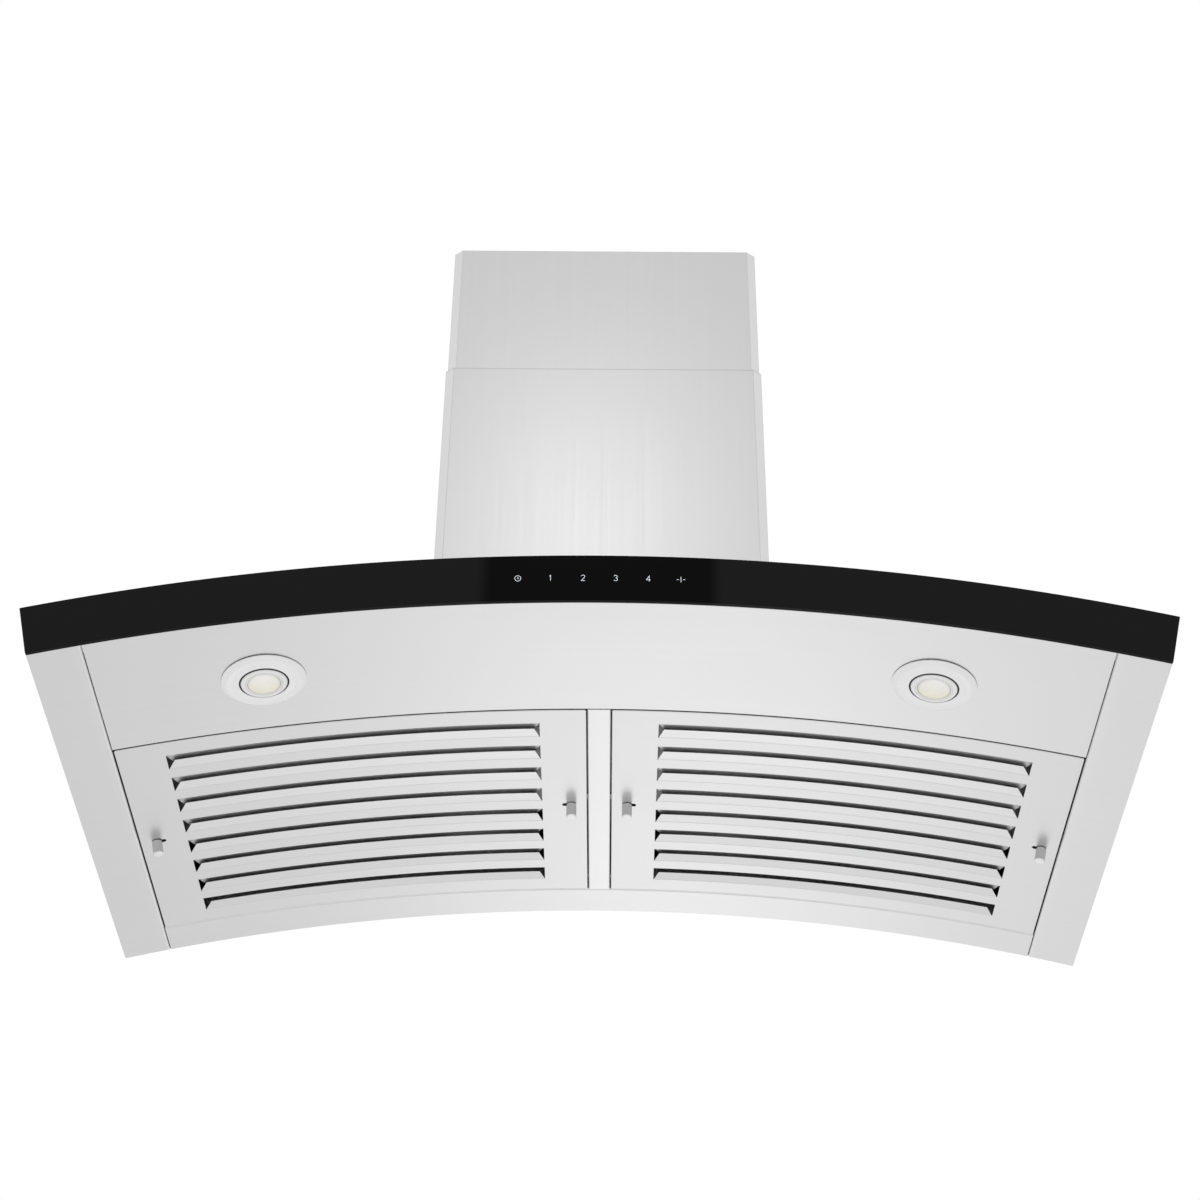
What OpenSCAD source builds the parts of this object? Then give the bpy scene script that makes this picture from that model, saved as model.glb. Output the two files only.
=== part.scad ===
// Wall mount range hood: an arched steel canopy with a black glass front band, two curved
// baffle filters, two tilting lamps, a blower with a duct collar and a telescoping chimney.
// Millimetres. The wall is the plane y = 0, the front faces -Y, +Z is up, and the origin is
// the middle of the four wall holes. The canopy is bent round one horizontal axis, the arch
// axis, which lies far below the hood and runs from front to back.

/* [Canopy] */
// Width across the lower corners of the front band
hood_w = 900; // [860:1:960]
// Depth from the wall to the front face of the glass
hood_d = 500; // [480:1:540]
// Height of the canopy, square to the arch
band_h = 45; // [44:1:60]
// Radius of the arched underside
arch_r = 1842; // [1700:1:2400]
// Thickness of the canopy's sheet steel
sheet_t = 1; // [0.8:0.1:1.5]
// Thickness of the front glass
glass_t = 4; // [3:0.5:6]

/* [Underside panels] */
// Width of each side panel
side_panel_w = 42; // [36:1:60]
// Depth of the lamp panel, from the front of the glass
lamp_panel_d = 156; // [140:1:165]
// Depth of the rear rail
rear_rail_d = 41; // [34:1:50]
// Width of the strip between the two filters
strip_w = 20; // [18:1:30]
// Gap between two fixed panels
seam_gap = 0.5; // [0.3:0.1:0.8]
// Gap round each filter
filter_gap = 1; // [0.8:0.1:1.5]

/* [Filters] */
// Thickness of the filter's sheet steel
filter_t = 0.8; // [0.6:0.1:1.2]
// Height of the filter pan
pan_h = 14; // [14:0.5:18]
// Height of the upper baffle plate above the pan's face
baffle_rise = 12; // [12:0.1:12.4]
// Number of grooves in the pan
groove_n = 8; // [4:1:8]
// Distance from the first and the last groove to the filter's front and rear edge
groove_margin = 19.75; // [10:0.25:24]
// Width of a groove, front to back
groove_w = 20; // [18:0.5:22]
// Distance from a groove's end to the side of the filter
groove_end = 40; // [36:1:70]
// Run of a groove's rear flap
flap_run = 5.7; // [5:0.1:7]
// Rise of a groove's rear flap
flap_rise = 4.5; // [3.5:0.1:5]

/* [Filter latches] */
// Diameter of a latch knob
knob_d = 9; // [8:0.5:12]
// Length of a latch knob
knob_l = 13; // [10:0.5:18]
// Distance from a knob's axis to the side of the filter
knob_inset = 14; // [12:0.5:16]
// Travel of a latch
latch_travel = 6; // [5.5:0.1:6.5]
// Width of the latch bolt
bolt_w = 8; // [6:0.5:9]
// Thickness of the latch bolt
bolt_t = 2.4; // [2:0.1:2.4]
// Distance that the bolt stands out of the filter
bolt_reach = 5; // [4:0.1:5.4]

/* [Lamps] */
// Distance of each lamp from the side of the hood
lamp_inset = 175; // [120:1:250]
// Distance of the lamps from the front of the glass
lamp_setback = 85; // [70:1:95]
// Outer diameter of the lamp trim
trim_d = 70; // [66:0.5:78]
// Diameter of the tilting lamp ball
ball_d = 47.8; // [46:0.1:49]
// Diameter of the lens
lens_d = 27; // [22:0.5:29]

/* [Controls] */
// Distance from one touch key to the next
key_pitch = 26.2; // [22:0.1:29]
// Number of touch keys
key_n = 6; // [4:1:6]

/* [Blower] */
// Diameter of the blower wheel
wheel_d = 180; // [160:1:186]
// Width of the blower wheel
wheel_w = 136; // [120:1:140]
// Number of blades
blade_n = 30; // [20:1:36]
// Outer radius of the scroll
scroll_r = 118; // [114:1:120]
// Outer width of the scroll
scroll_w = 160; // [154:1:166]
// Diameter of the motor shaft
shaft_d = 8; // [6:0.5:10]

/* [Duct collar] */
// Outer diameter of the duct collar
collar_d = 149.2; // [140:0.1:152]
// Height of the duct collar
collar_h = 50; // [44:1:70]
// Diameter of a damper's pin
damper_pin_d = 3; // [2.5:0.5:4]

/* [Chimney] */
// Width of the lower chimney
chimney_w = 312; // [308:1:330]
// Depth of the lower chimney
chimney_d = 270; // [266:1:290]
// Height from the canopy's crown to the top of the lower chimney
chimney_lower_h = 412; // [390:1:450]
// Length of the upper chimney
chimney_upper_h = 400; // [380:1:410]
// Length of the upper chimney that shows above the lower one
chimney_show = 164; // [100:1:200]
// Gap between the two chimneys
chimney_gap = 0.75; // [0.5:0.05:1]
// Width of the bevel on the chimney's front corners
bevel_w = 8; // [5:0.5:12]
// Depth of that bevel
bevel_d = 6; // [4:0.5:10]

/* [Wall mounting] */
// Diameter of the four wall holes
wall_hole_d = 8; // [6:0.5:10]
// Distance between the wall holes, across
wall_hole_dx = 200; // [160:1:220]
// Distance between the wall holes, up and down
wall_hole_dz = 110; // [90:1:120]
// Height of the middle of the wall holes above the crown of the underside
mount_rise = 150; // [145:1:160]
// Bore of the cable gland
gland_bore_d = 9; // [7:0.5:10]

/* [Hidden] */
$fn = 64;
arch_fn = 256;
// A cut runs this far past what it cuts, and a joined piece this far into its neighbour
past = 1;
eps = 0.01;
// Room round each screw and sliding bolt, and between pieces of different bodies
bolt_gap = 0.1;
seat_gap = 0.3;
// Radial clearance of a running shaft or pin
run_gap = 0.05;
steel = [0.80, 0.80, 0.80];
dark_steel = [0.45, 0.45, 0.46];
zinc = [0.66, 0.68, 0.70];
black = [0.06, 0.06, 0.07];

// Places on the arch
arch_z = -mount_rise - arch_r;
half_angle = asin(hood_w / 2 / arch_r);
sheet_angle = asin(sheet_t / arch_r);
function arch_angle(x) = asin(x / arch_r);
function arch_height(x, rise) = arch_z + sqrt(pow(arch_r + rise, 2) - x * x);
crown_z = arch_height(0, band_h);
floor_z = arch_height(hood_w / 2, 0) - 2 * band_h;
column_h = crown_z - floor_z + 2 * band_h;
front_y = -hood_d;
carrier_y = front_y + glass_t;
side_x = hood_w / 2 - side_panel_w;
open_y0 = front_y + lamp_panel_d;
open_y1 = -rear_rail_d;

// Filter outline, seats and ledges
fx0 = strip_w / 2 + filter_gap;
fx1 = side_x - filter_gap;
fy0 = open_y0 + filter_gap;
fy1 = open_y1 - filter_gap;
guide_roof = 1;
bolt_z = baffle_rise - bolt_t - guide_roof;
ledge_h = bolt_z - seat_gap;
lip_z = pan_h + seat_gap;
lip_d = 7;
groove_x0 = fx0 + groove_end;
groove_x1 = fx1 - groove_end;
groove_y0 = fy0 + groove_margin;
groove_pitch = (fy1 - groove_margin - groove_w - groove_y0) / (groove_n - 1);
front_flap_run = 1.5;
front_flap_rise = 3.5;
land_set = 0.25;
land_lap = 1.5;
land_step = 0.5;
baffle_gap = 0.2;

// Latch parts
latch_y = (fy0 + fy1) / 2;
stem_d = 4;
stem_gap = 0.3;
bolt_tail = 12;
knob_lift = 0.4;
knob_bore_l = 6;
knob_bevel = 0.6;
guide_w = bolt_w + 6;
guide_set = 4;
guide_front = knob_inset - guide_set;
guide_back = 24;
spring_d = 4.4;
spring_wire_d = 0.5;
spring_turns = 6;
spring_end = 2;

// Filter posts
post_d = 5;
post_shank_d = 3;
post_head_d = 7;
post_inset_x = 20;
post_inset_y = 32;

// Lamp parts, measured from the lamp panel's underside
lamp_x = hood_w / 2 - lamp_inset;
lamp_angle = arch_angle(lamp_x);
lamp_y = front_y + lamp_setback;
trim_drop = 4;
trim_edge = 1;
trim_bevel = 5;
trim_mouth_r = 20.5;
trim_barrel_r = ball_d / 2 + 3.6;
trim_top = 22;
ball_z = 10.5;
ball_gap = 0.3;
ball_face_z = -5;
ball_shell = 2.4;
lens_seat = 4;
lens_lip = 2.5;
lens_bulge_r = 28;
lens_bulge = lens_bulge_r - sqrt(pow(lens_bulge_r, 2) - pow(lens_d / 2, 2));
module_z = ball_face_z + lens_seat + ball_shell;
module_r = 15;
module_core_r = 9;
module_rise = 2;
fin_n = 5;
fin_t = 1;
fin_pitch = 2.4;
clip_w = 10;
clip_t = 0.8;
clip_top = trim_top - 2;
clip_grip = 6;
clip_reach = 12;
clip_foot = 2;

// Blower and duct, set out from the middle of the chimney
blower_y = -chimney_d / 2;
scroll_z = crown_z + scroll_r;
wheel_shift = 14;
wheel_y = blower_y + wheel_shift;
wheel_z = scroll_z;
blade_depth = 20;
blade_t = 1;
blade_angle = 28;
rim_t = 3;
hub_r = 12;
hub_l = 22;
inlet_r = wheel_d / 2 - blade_depth + 2;
ring_t = 1;
ring_depth = 5;
ring_gap = 0.2;
ring_r = inlet_r + 22;
outlet_margin = 6;
outlet_y1 = blower_y + collar_d / 2 + outlet_margin;
neck_h = 28;
outlet_z = scroll_z + scroll_r + neck_h;
collar_t = 1;
collar_seat_w = 4;
collar_seat_t = 1.5;
flange_t = 1.5;
damper_rise = 24;
damper_z = outlet_z + flange_t + damper_rise;
damper_axis_gap = 4.4;
damper_gap = 1.2;
damper_t = 1;
damper_pin_inset = 0.3;
collar_seat_z = damper_z - damper_t / 2 - seat_gap;
motor_r = 42;
motor_x0 = 16;
motor_band = 4;
motor_band_x = scroll_w / 2 - 12;
motor_boss_r = 14;
motor_boss_l = 4;
motor_bore_l = 40;
shaft_in = 35;
shaft_out = 4;
foot_y = 56;
foot_d = 18;
foot_hx = 62;
foot_t = 2;
screw_hx = 45;
arm_n = 3;
arm_w = 14;
arm_t = 3;
arm_gap = 3;
arm_pad = 12;
spider_r = 30;
motor_screw_r = ring_r + 8;

// Chimney
lower_top = crown_z + chimney_lower_h;
upper_top = lower_top + chimney_show;
upper_w = chimney_w - 2 * sheet_t - 2 * chimney_gap;
upper_y0 = -chimney_d + sheet_t + chimney_gap;
upper_y1 = -sheet_t - seat_gap;
return_w = 14;
tab_w = 15;
tab_y0 = -170;
tab_y1 = -110;
bracket_z0 = upper_top - 50;
bracket_h = 35;
bracket_t = 2;
bracket_hole_d = 6;
bracket_hole_dx = 200;
bracket_reach = 40;
bracket_ear = 30;
bracket_gap = 1;
bracket_screw_z = bracket_z0 + bracket_h / 2;
bracket_screw_y = upper_y1 - bracket_reach - bracket_ear / 2;

// Wall plate
plate_t = 3;
plate_w = wall_hole_dx + 50;
plate_top = wall_hole_dz / 2 + 20;
plate_flange_d = 24;
plate_screw_y = -14;
plate_screw_x = [-90, -35, 35, 90];

// Cable gland
gland_thread_d = gland_bore_d + 4;
gland_head_d = gland_bore_d + 11;
gland_nut_h = 5;
gland_cap_h = 13;
gland_cap_taper = 4;
gland_thread_l = gland_nut_h + 2;
gland_room = 2;
gland_inset = 12;
gland_x = -plate_w / 2 + gland_inset;
gland_y = -plate_flange_d - gland_head_d / 2;

// Air openings in the canopy's top, one each side of the blower's feet
air_hole_x0 = foot_hx + 24;
air_hole_x1 = chimney_w / 2 - 18;
air_hole_y0 = -chimney_d + 30;
air_hole_y1 = -plate_flange_d - 22;

// Front carrier, touch keys and touch board
carrier_flange_d = 10;
board_margin = 1;
key_rise = band_h / 2;
guide_l = 1.5;
guide_d = 7;
board_t = 1.6;
board_side = 16;
board_w = key_n * key_pitch + board_side;
board_h = 26;
board_drop = 1;
board_z = arch_height(0, key_rise) - board_h / 2 - board_drop;
chip_w = 24;
chip_d = 6;
chip_h = 8;

// Control box, with its board on four posts
box_w = 160;
box_d = 95;
box_h = 26;
box_wall = 1.5;
box_setback = 32;
box_y = front_y + box_setback;
box_z = arch_height(0, sheet_t);
box_cable_d = 8;
box_inset = box_wall + 0.5;
foot_post = 4;
transformer = [38, 32, 15];
transformer_at = [20, 20];
capacitor_d = 16;
capacitor_h = 15;
capacitor_at = [90, 30];
terminals = [24, 14, 12];
terminals_at = [116, 56];

// Screws
screw_d = 4;
screw_head_d = 8;
screw_head_h = 2.4;
screw_tip = 3;

// Turns a flat outline of (radius, y) about the arch axis, between two angles from upright
module arch_sweep(from, to)
    translate([0, 0, arch_z])
        rotate([-90, 0, 0])
            rotate([0, 0, from - 90])
                rotate_extrude(angle = to - from, $fn = arch_fn)
                    children();

// Puts its children on the underside of the arch, turned to stand square to it
module on_arch(angle)
    translate([0, 0, arch_z])
        rotate([0, angle, 0])
            translate([0, 0, arch_r])
                children();

// A sheet bent to the arch, from one height above the underside to another
module arch_slab(lo, hi, y0, y1, from = -half_angle, to = half_angle)
    arch_sweep(from, to)
        translate([arch_r + lo, y0])
            square([hi - lo, y1 - y0]);

// An upright column over a rectangle of the plan
module column(x0, x1, y0, y1)
    translate([x0, y0, floor_z])
        cube([x1 - x0, y1 - y0, column_h]);

// A sheet bent to the arch whose sides are upright
module arch_plate(x0, x1, y0, y1, lo, hi)
    intersection() {
        arch_slab(lo, hi, y0, y1, arch_angle(x0) - past, arch_angle(x1) + past);
        column(x0, x1, y0 - past, y1 + past);
    }

// Everything under the arched top of the canopy, to trim what stands on it
module under_canopy(rise)
    translate([0, past, arch_z])
        rotate([90, 0, 0])
            cylinder(r = arch_r + rise, h = hood_d + 2 * past, $fn = arch_fn);

// A pan head screw that hangs down from the origin
module screw(length, d = screw_d, head = screw_head_d, head_h = screw_head_h)
    union() {
        cylinder(d = head, h = head_h, $fn = 32);
        translate([0, 0, -length])
            cylinder(d = d, h = length + eps, $fn = 32);
    }

// Lays its children along X through a point, so that their Z runs along +X
module along_x(y, z)
    translate([0, y, z])
        rotate([0, 90, 0])
            children();

// The black band: its lower and upper edges follow the two faces of the canopy
module glass_front()
    color(black)
        arch_slab(0, band_h, front_y, carrier_y);

// Where each touch key stands along the band
function key_x(i) = (i - (key_n - 1) / 2) * key_pitch;

module key_places()
    for (i = [0 : key_n - 1])
        translate([key_x(i), carrier_y, arch_height(key_x(i), key_rise)])
            children();

module light_guides()
    color("white")
        key_places()
            rotate([-90, 0, 0])
                cylinder(d = guide_d, h = guide_l, $fn = 32);

module touch_board()
    color("darkgreen")
        union() {
            translate([-board_w / 2, carrier_y + guide_l, board_z])
                cube([board_w, board_t, board_h]);
            translate([-chip_w / 2, carrier_y + guide_l + board_t - eps,
                       board_z + (board_h - chip_h) / 2])
                cube([chip_w, chip_d, chip_h]);
        }

module front_carrier() {
    inner = half_angle - sheet_angle;
    color(zinc)
        difference() {
            arch_sweep(-inner, inner)
                translate([arch_r, carrier_y])
                    difference() {
                        translate([sheet_t, 0])
                            square([band_h - 2 * sheet_t, carrier_flange_d]);
                        translate([2 * sheet_t, sheet_t])
                            square([band_h - 4 * sheet_t, carrier_flange_d]);
                    }
            translate([-board_w / 2 + board_margin, carrier_y - past, board_z + board_margin])
                cube([board_w - 2 * board_margin, sheet_t + 2 * past, board_h - 2 * board_margin]);
        }
}

module canopy_top()
    color(steel)
        difference() {
            arch_slab(sheet_t, band_h, carrier_y, 0);
            arch_slab(-past, band_h - sheet_t, carrier_y - past, past,
                      sheet_angle - half_angle, half_angle - sheet_angle);
            for (side = [-1, 1])
                column(side > 0 ? air_hole_x0 : -air_hole_x1,
                       side > 0 ? air_hole_x1 : -air_hole_x0, air_hole_y0, air_hole_y1);
            canopy_screw_places()
                screw_hole();
            blower_foot_places()
                screw_hole();
            chimney_tab_places()
                screw_hole();
            gland_place()
                translate([0, 0, -band_h])
                    cylinder(d = gland_thread_d + 2 * bolt_gap, h = 2 * band_h, $fn = 48);
        }

// A clearance hole for a screw, long enough for any sheet here
module screw_hole(depth = 6)
    translate([0, 0, -depth])
        cylinder(d = screw_d + 2 * bolt_gap, h = 2 * depth, $fn = 32);

module canopy_back()
    color(steel)
        arch_slab(sheet_t, band_h - sheet_t, -sheet_t, 0,
                  sheet_angle - half_angle, half_angle - sheet_angle);

module canopy_screw_places()
    for (x = plate_screw_x)
        translate([x, plate_screw_y, arch_height(x, band_h)])
            rotate([0, arch_angle(x), 0])
                children();

module wall_plate()
    color(zinc)
        difference() {
            union() {
                difference() {
                    translate([-plate_w / 2, -plate_t, crown_z - band_h / 2])
                        cube([plate_w, plate_t, plate_top - crown_z + band_h / 2]);
                    under_canopy(band_h);
                }
                arch_plate(-plate_w / 2, plate_w / 2, -plate_flange_d, 0, band_h, band_h + plate_t);
            }
            for (x = [-1, 1], z = [-1, 1])
                translate([x * wall_hole_dx / 2, -plate_t - past, z * wall_hole_dz / 2])
                    rotate([-90, 0, 0])
                        cylinder(d = wall_hole_d, h = plate_t + 2 * past, $fn = 48);
            canopy_screw_places()
                screw_hole();
            gland_place()
                translate([0, 0, -past])
                    cylinder(r = gland_head_d / 2 + gland_room, h = gland_nut_h + gland_cap_h + past,
                             $fn = 48);
        }

module canopy_screws()
    color(zinc)
        canopy_screw_places()
            translate([0, 0, plate_t])
                screw(plate_t + sheet_t + screw_tip);

// The panel beside the right hand filter; its inner flange is the ledge for the latch bolt
module side_panel() {
    edge = side_x;
    color(steel)
        union() {
            intersection() {
                arch_slab(0, sheet_t, carrier_y, 0, arch_angle(edge) - past, half_angle);
                column(edge, hood_w, carrier_y - past, past);
            }
            arch_plate(edge, edge + sheet_t, carrier_y + carrier_flange_d + filter_gap,
                       -sheet_t - seat_gap, 0, ledge_h);
        }
}

module side_panel_right()
    side_panel();

module side_panel_left()
    mirror([1, 0, 0])
        side_panel();

// A panel whose edge at the filters turns up and then out, as a lip over them; far is its other
// edge, and out is the direction of the lip along Y
module lipped_panel(far, edge, out) {
    side = side_x - seam_gap;
    intersection() {
        arch_sweep(arch_angle(-side) - past, arch_angle(side) + past)
            translate([arch_r, 0])
                polygon([
                    [0, far], [0, edge], [lip_z, edge], [lip_z, edge + out * lip_d],
                    [lip_z + sheet_t, edge + out * lip_d], [lip_z + sheet_t, edge - out * sheet_t],
                    [sheet_t, edge - out * sheet_t], [sheet_t, far]
                ]);
        column(-side, side, front_y, past);
    }
}

module lamp_panel()
    color(steel)
        difference() {
            lipped_panel(carrier_y, open_y0, 1);
            for (side = [-1, 1])
                on_arch(side * lamp_angle)
                    translate([0, lamp_y, -past])
                        cylinder(r = trim_barrel_r + ball_gap, h = sheet_t + 2 * past, $fn = 96);
        }

module rear_rail()
    color(steel)
        lipped_panel(0, open_y1, -1);

// A channel whose two flanges are the ledges for the inner latch bolts
module centre_strip() {
    inner = strip_w / 2 - sheet_t;
    color(steel)
        difference() {
            arch_plate(-strip_w / 2, strip_w / 2, open_y0, open_y1, 0, ledge_h);
            arch_plate(-inner, inner, open_y0 - past, open_y1 + past, sheet_t, ledge_h + past);
        }
}

// Lamps
module lamp_place(side)
    on_arch(side * lamp_angle)
        translate([0, lamp_y, 0])
            children();

// The trim's top face follows the arch, so that it lies against the panel all round
module lamp_trim()
    color([0.85, 0.85, 0.86])
        difference() {
            union() {
                intersection() {
                    rotate_extrude($fn = 96)
                        polygon([
                            [0, -trim_drop], [trim_d / 2 - trim_bevel, -trim_drop],
                            [trim_d / 2, -trim_edge], [trim_d / 2, past], [0, past]
                        ]);
                    translate([0, trim_d, -arch_r])
                        rotate([90, 0, 0])
                            cylinder(r = arch_r, h = 2 * trim_d, $fn = arch_fn);
                }
                translate([0, 0, -trim_edge])
                    cylinder(r = trim_barrel_r, h = trim_top + trim_edge, $fn = 96);
            }
            translate([0, 0, ball_z])
                sphere(r = ball_d / 2 + ball_gap, $fn = 96);
            translate([0, 0, ball_z])
                cylinder(r = ball_d / 2 + ball_gap, h = trim_top, $fn = 96);
            translate([0, 0, -trim_drop - past])
                cylinder(r = trim_mouth_r, h = ball_z, $fn = 96);
        }

module lamp_trim_left()
    lamp_place(-1)
        lamp_trim();

module lamp_trim_right()
    lamp_place(1)
        lamp_trim();

// The tilting ball: a round shell cut flat at the mouth and at the back
module lamp_ball()
    color([0.88, 0.88, 0.88])
        difference() {
            intersection() {
                translate([0, 0, ball_z])
                    sphere(d = ball_d, $fn = 96);
                translate([0, 0, ball_face_z])
                    cylinder(r = ball_d, h = trim_top - ball_face_z, $fn = 96);
            }
            translate([0, 0, ball_face_z - past])
                cylinder(d = lens_d, h = lens_seat + past, $fn = 96);
            translate([0, 0, module_z])
                cylinder(r = module_r, h = trim_top, $fn = 96);
            translate([0, 0, ball_face_z])
                cylinder(r = lens_d / 2 - lens_lip, h = trim_top, $fn = 96);
        }

module lamp_ball_left()
    lamp_place(-1)
        lamp_ball();

module lamp_ball_right()
    lamp_place(1)
        lamp_ball();

module lamp_lens()
    color([0.98, 0.96, 0.86])
        union() {
            translate([0, 0, ball_face_z])
                cylinder(d = lens_d, h = lens_seat, $fn = 96);
            intersection() {
                translate([0, 0, ball_face_z + lens_bulge_r - lens_bulge])
                    sphere(r = lens_bulge_r, $fn = 128);
                translate([0, 0, ball_face_z - lens_bulge - past])
                    cylinder(d = lens_d, h = lens_bulge + past + eps, $fn = 96);
            }
        }

module lamp_lens_left()
    lamp_place(-1)
        lamp_lens();

module lamp_lens_right()
    lamp_place(1)
        lamp_lens();

// The light source on its finned heat sink, behind the lens
module lamp_module()
    color(dark_steel)
        union() {
            translate([0, 0, module_z])
                cylinder(r = module_r - ball_gap, h = trim_top - module_z + module_rise, $fn = 64);
            for (i = [0 : fin_n - 1])
                translate([0, 0, trim_top + module_rise + i * fin_pitch - eps]) {
                    cylinder(r = module_core_r, h = fin_pitch + eps, $fn = 64);
                    cylinder(r = module_r - ball_gap, h = fin_t, $fn = 64);
                }
        }

module lamp_module_left()
    lamp_place(-1)
        lamp_module();

module lamp_module_right()
    lamp_place(1)
        lamp_module();

// Two leaf springs a lamp hold its trim up against the panel
module lamp_clips() {
    toe = trim_barrel_r + clip_reach;
    color(zinc)
        for (side = [-1, 1], end = [0, 1])
            lamp_place(side)
                mirror([0, end, 0])
                    rotate([90, 0, -90])
                        translate([0, 0, -clip_w / 2])
                            linear_extrude(height = clip_w)
                                polygon([
                                    [-trim_barrel_r, clip_top],
                                    [-trim_barrel_r, clip_top - clip_grip],
                                    [-trim_barrel_r - clip_t, clip_top - clip_grip],
                                    [-toe, sheet_t],
                                    [-toe - clip_foot, sheet_t],
                                    [-toe - clip_foot, sheet_t + clip_t],
                                    [-toe - clip_t / 2, sheet_t + clip_t],
                                    [-trim_barrel_r - 2 * clip_t, clip_top]
                                ]);
}

// Filters. The right hand one is drawn, and the left one is its mirror image.

// The outer and the inner face of a flap, as (height, y) points; an empty flap is a plain edge
function flap_outer(y, flap, along) =
    len(flap) == 0 ? [[0, y]] : [[flap[1], y + along * flap[0]], [0, y]];
function flap_inner(y, flap, along) =
    len(flap) == 0 ? [[filter_t, y]] :
    let (l = norm(flap), root = [0, y] + [flap[0], -along * flap[1]] * filter_t / l,
         way = [flap[1], along * flap[0]] / l, rise = filter_t * (l - flap[0]) / flap[1])
        [root + rise * way, root + l * way];
function backwards(v) = [for (i = [len(v) - 1 : -1 : 0]) v[i]];

// A strip of the plate beside a groove, with a flap bent from each side. It is set a little
// way in from the plate's face, and laps over the plate at both ends.
module land(face, up, y0, y1, flap0, flap1)
    arch_sweep(arch_angle(groove_x0 - land_lap), arch_angle(groove_x1 + land_lap))
        polygon([
            for (p = concat(flap_outer(y0, flap0, -1), backwards(flap_outer(y1, flap1, 1)),
                            backwards(flap_inner(y1, flap1, 1)), flap_inner(y0, flap0, -1)))
                [arch_r + face + up * (land_set + p[0]), p[1]]
        ]);

// All the lands of a plate with n grooves from y on
module lands(face, up, y, n, rear, front) {
    end = y + (n - 1) * groove_pitch + groove_w;
    land(face, up, y - land_step - land_lap, y, [], front);
    for (i = [1 : n - 1])
        land(face, up, y + (i - 1) * groove_pitch + groove_w, y + i * groove_pitch, rear, front);
    land(face, up, end, end + land_step + land_lap, rear, []);
}

module groove_field(y, n, lo, hi)
    arch_slab(lo, hi, y - land_step, y + (n - 1) * groove_pitch + groove_w + land_step,
              arch_angle(groove_x0), arch_angle(groove_x1));

// Posts that hold the upper baffle plate on the pan
module post_places()
    for (x = [fx0 + post_inset_x, fx1 - post_inset_x], y = [fy0 + post_inset_y, fy1 - post_inset_y])
        on_arch(arch_angle(x))
            translate([0, y, 0])
                children();

// A latch at the outer side (end = 1) or the inner side (end = -1) of the right hand filter.
// Inside it, +X points out of the filter and Z stands square to the arch.
module latch_place(end)
    on_arch(arch_angle(end > 0 ? fx1 - knob_inset : fx0 + knob_inset))
        translate([0, latch_y, 0])
            mirror([end > 0 ? 0 : 1, 0, 0])
                children();

module latch_slot(lo, hi) {
    w = stem_d + 2 * stem_gap;
    translate([0, 0, lo])
        cylinder(d = w, h = hi - lo, $fn = 32);
    translate([-latch_travel, 0, lo])
        cylinder(d = w, h = hi - lo, $fn = 32);
    translate([-latch_travel, -w / 2, lo])
        cube([latch_travel, w, hi - lo]);
}

module latch_window()
    translate([guide_front, -bolt_w / 2 - stem_gap, bolt_z - stem_gap])
        cube([2 * guide_set, bolt_w + 2 * stem_gap, bolt_t + 2 * stem_gap]);

module filter_pan()
    color(steel)
        difference() {
            union() {
                difference() {
                    arch_plate(fx0, fx1, fy0, fy1, 0, pan_h);
                    arch_plate(fx0 + filter_t, fx1 - filter_t, fy0 + filter_t, fy1 - filter_t,
                               filter_t, pan_h + past);
                    groove_field(groove_y0, groove_n, -past, filter_t + past);
                }
                lands(0, 1, groove_y0, groove_n, [flap_run, flap_rise],
                      [front_flap_run, front_flap_rise]);
            }
            for (end = [-1, 1])
                latch_place(end) {
                    latch_slot(-past, filter_t + past);
                    latch_window();
                }
        }

// The upper plate is the same stamping turned over: its grooves stand over the pan's lands
module filter_baffle() {
    top = baffle_rise + filter_t;
    inset = filter_t + baffle_gap;
    start = groove_y0 + groove_pitch / 2;
    color(dark_steel)
        difference() {
            union() {
                difference() {
                    arch_plate(fx0 + inset, fx1 - inset, fy0 + inset, fy1 - inset,
                               baffle_rise, pan_h);
                    arch_plate(fx0 + inset + filter_t, fx1 - inset - filter_t,
                               fy0 + inset + filter_t, fy1 - inset - filter_t, top,
                               pan_h + past);
                    groove_field(start, groove_n - 1, baffle_rise - past, top + past);
                }
                lands(top, -1, start, groove_n - 1, [flap_run, flap_rise],
                      [flap_run, flap_rise]);
            }
            post_places()
                translate([0, 0, baffle_rise - past])
                    cylinder(d = post_shank_d + 2 * bolt_gap, h = filter_t + 2 * past, $fn = 32);
        }
}

module filter_posts()
    color(zinc)
        post_places()
            union() {
                translate([0, 0, filter_t])
                    cylinder(d = post_d, h = baffle_rise - filter_t, $fn = 32);
                translate([0, 0, baffle_rise - eps])
                    cylinder(d = post_shank_d, h = filter_t + 2 * eps, $fn = 32);
                translate([0, 0, baffle_rise + filter_t])
                    cylinder(d = post_head_d, h = pan_h - baffle_rise - filter_t - bolt_gap, $fn = 32);
            }

module latch_guides()
    color(zinc)
        for (end = [-1, 1])
            latch_place(end)
                difference() {
                    translate([-guide_back, -guide_w / 2, filter_t + bolt_gap])
                        cube([guide_back + guide_front, guide_w,
                              baffle_rise - filter_t - 3 * bolt_gap]);
                    translate([-guide_back + spring_end, -bolt_w / 2 - bolt_gap, bolt_z - bolt_gap])
                        cube([guide_back + guide_front, bolt_w + 2 * bolt_gap,
                              bolt_t + 2 * bolt_gap]);
                    translate([-guide_back + spring_end, -spring_d / 2 - bolt_gap,
                               bolt_z + bolt_t - spring_d - bolt_gap])
                        cube([guide_back - spring_end - bolt_tail + past, spring_d + 2 * bolt_gap,
                              spring_d + 2 * bolt_gap]);
                    latch_slot(0, bolt_z);
                }

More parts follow.
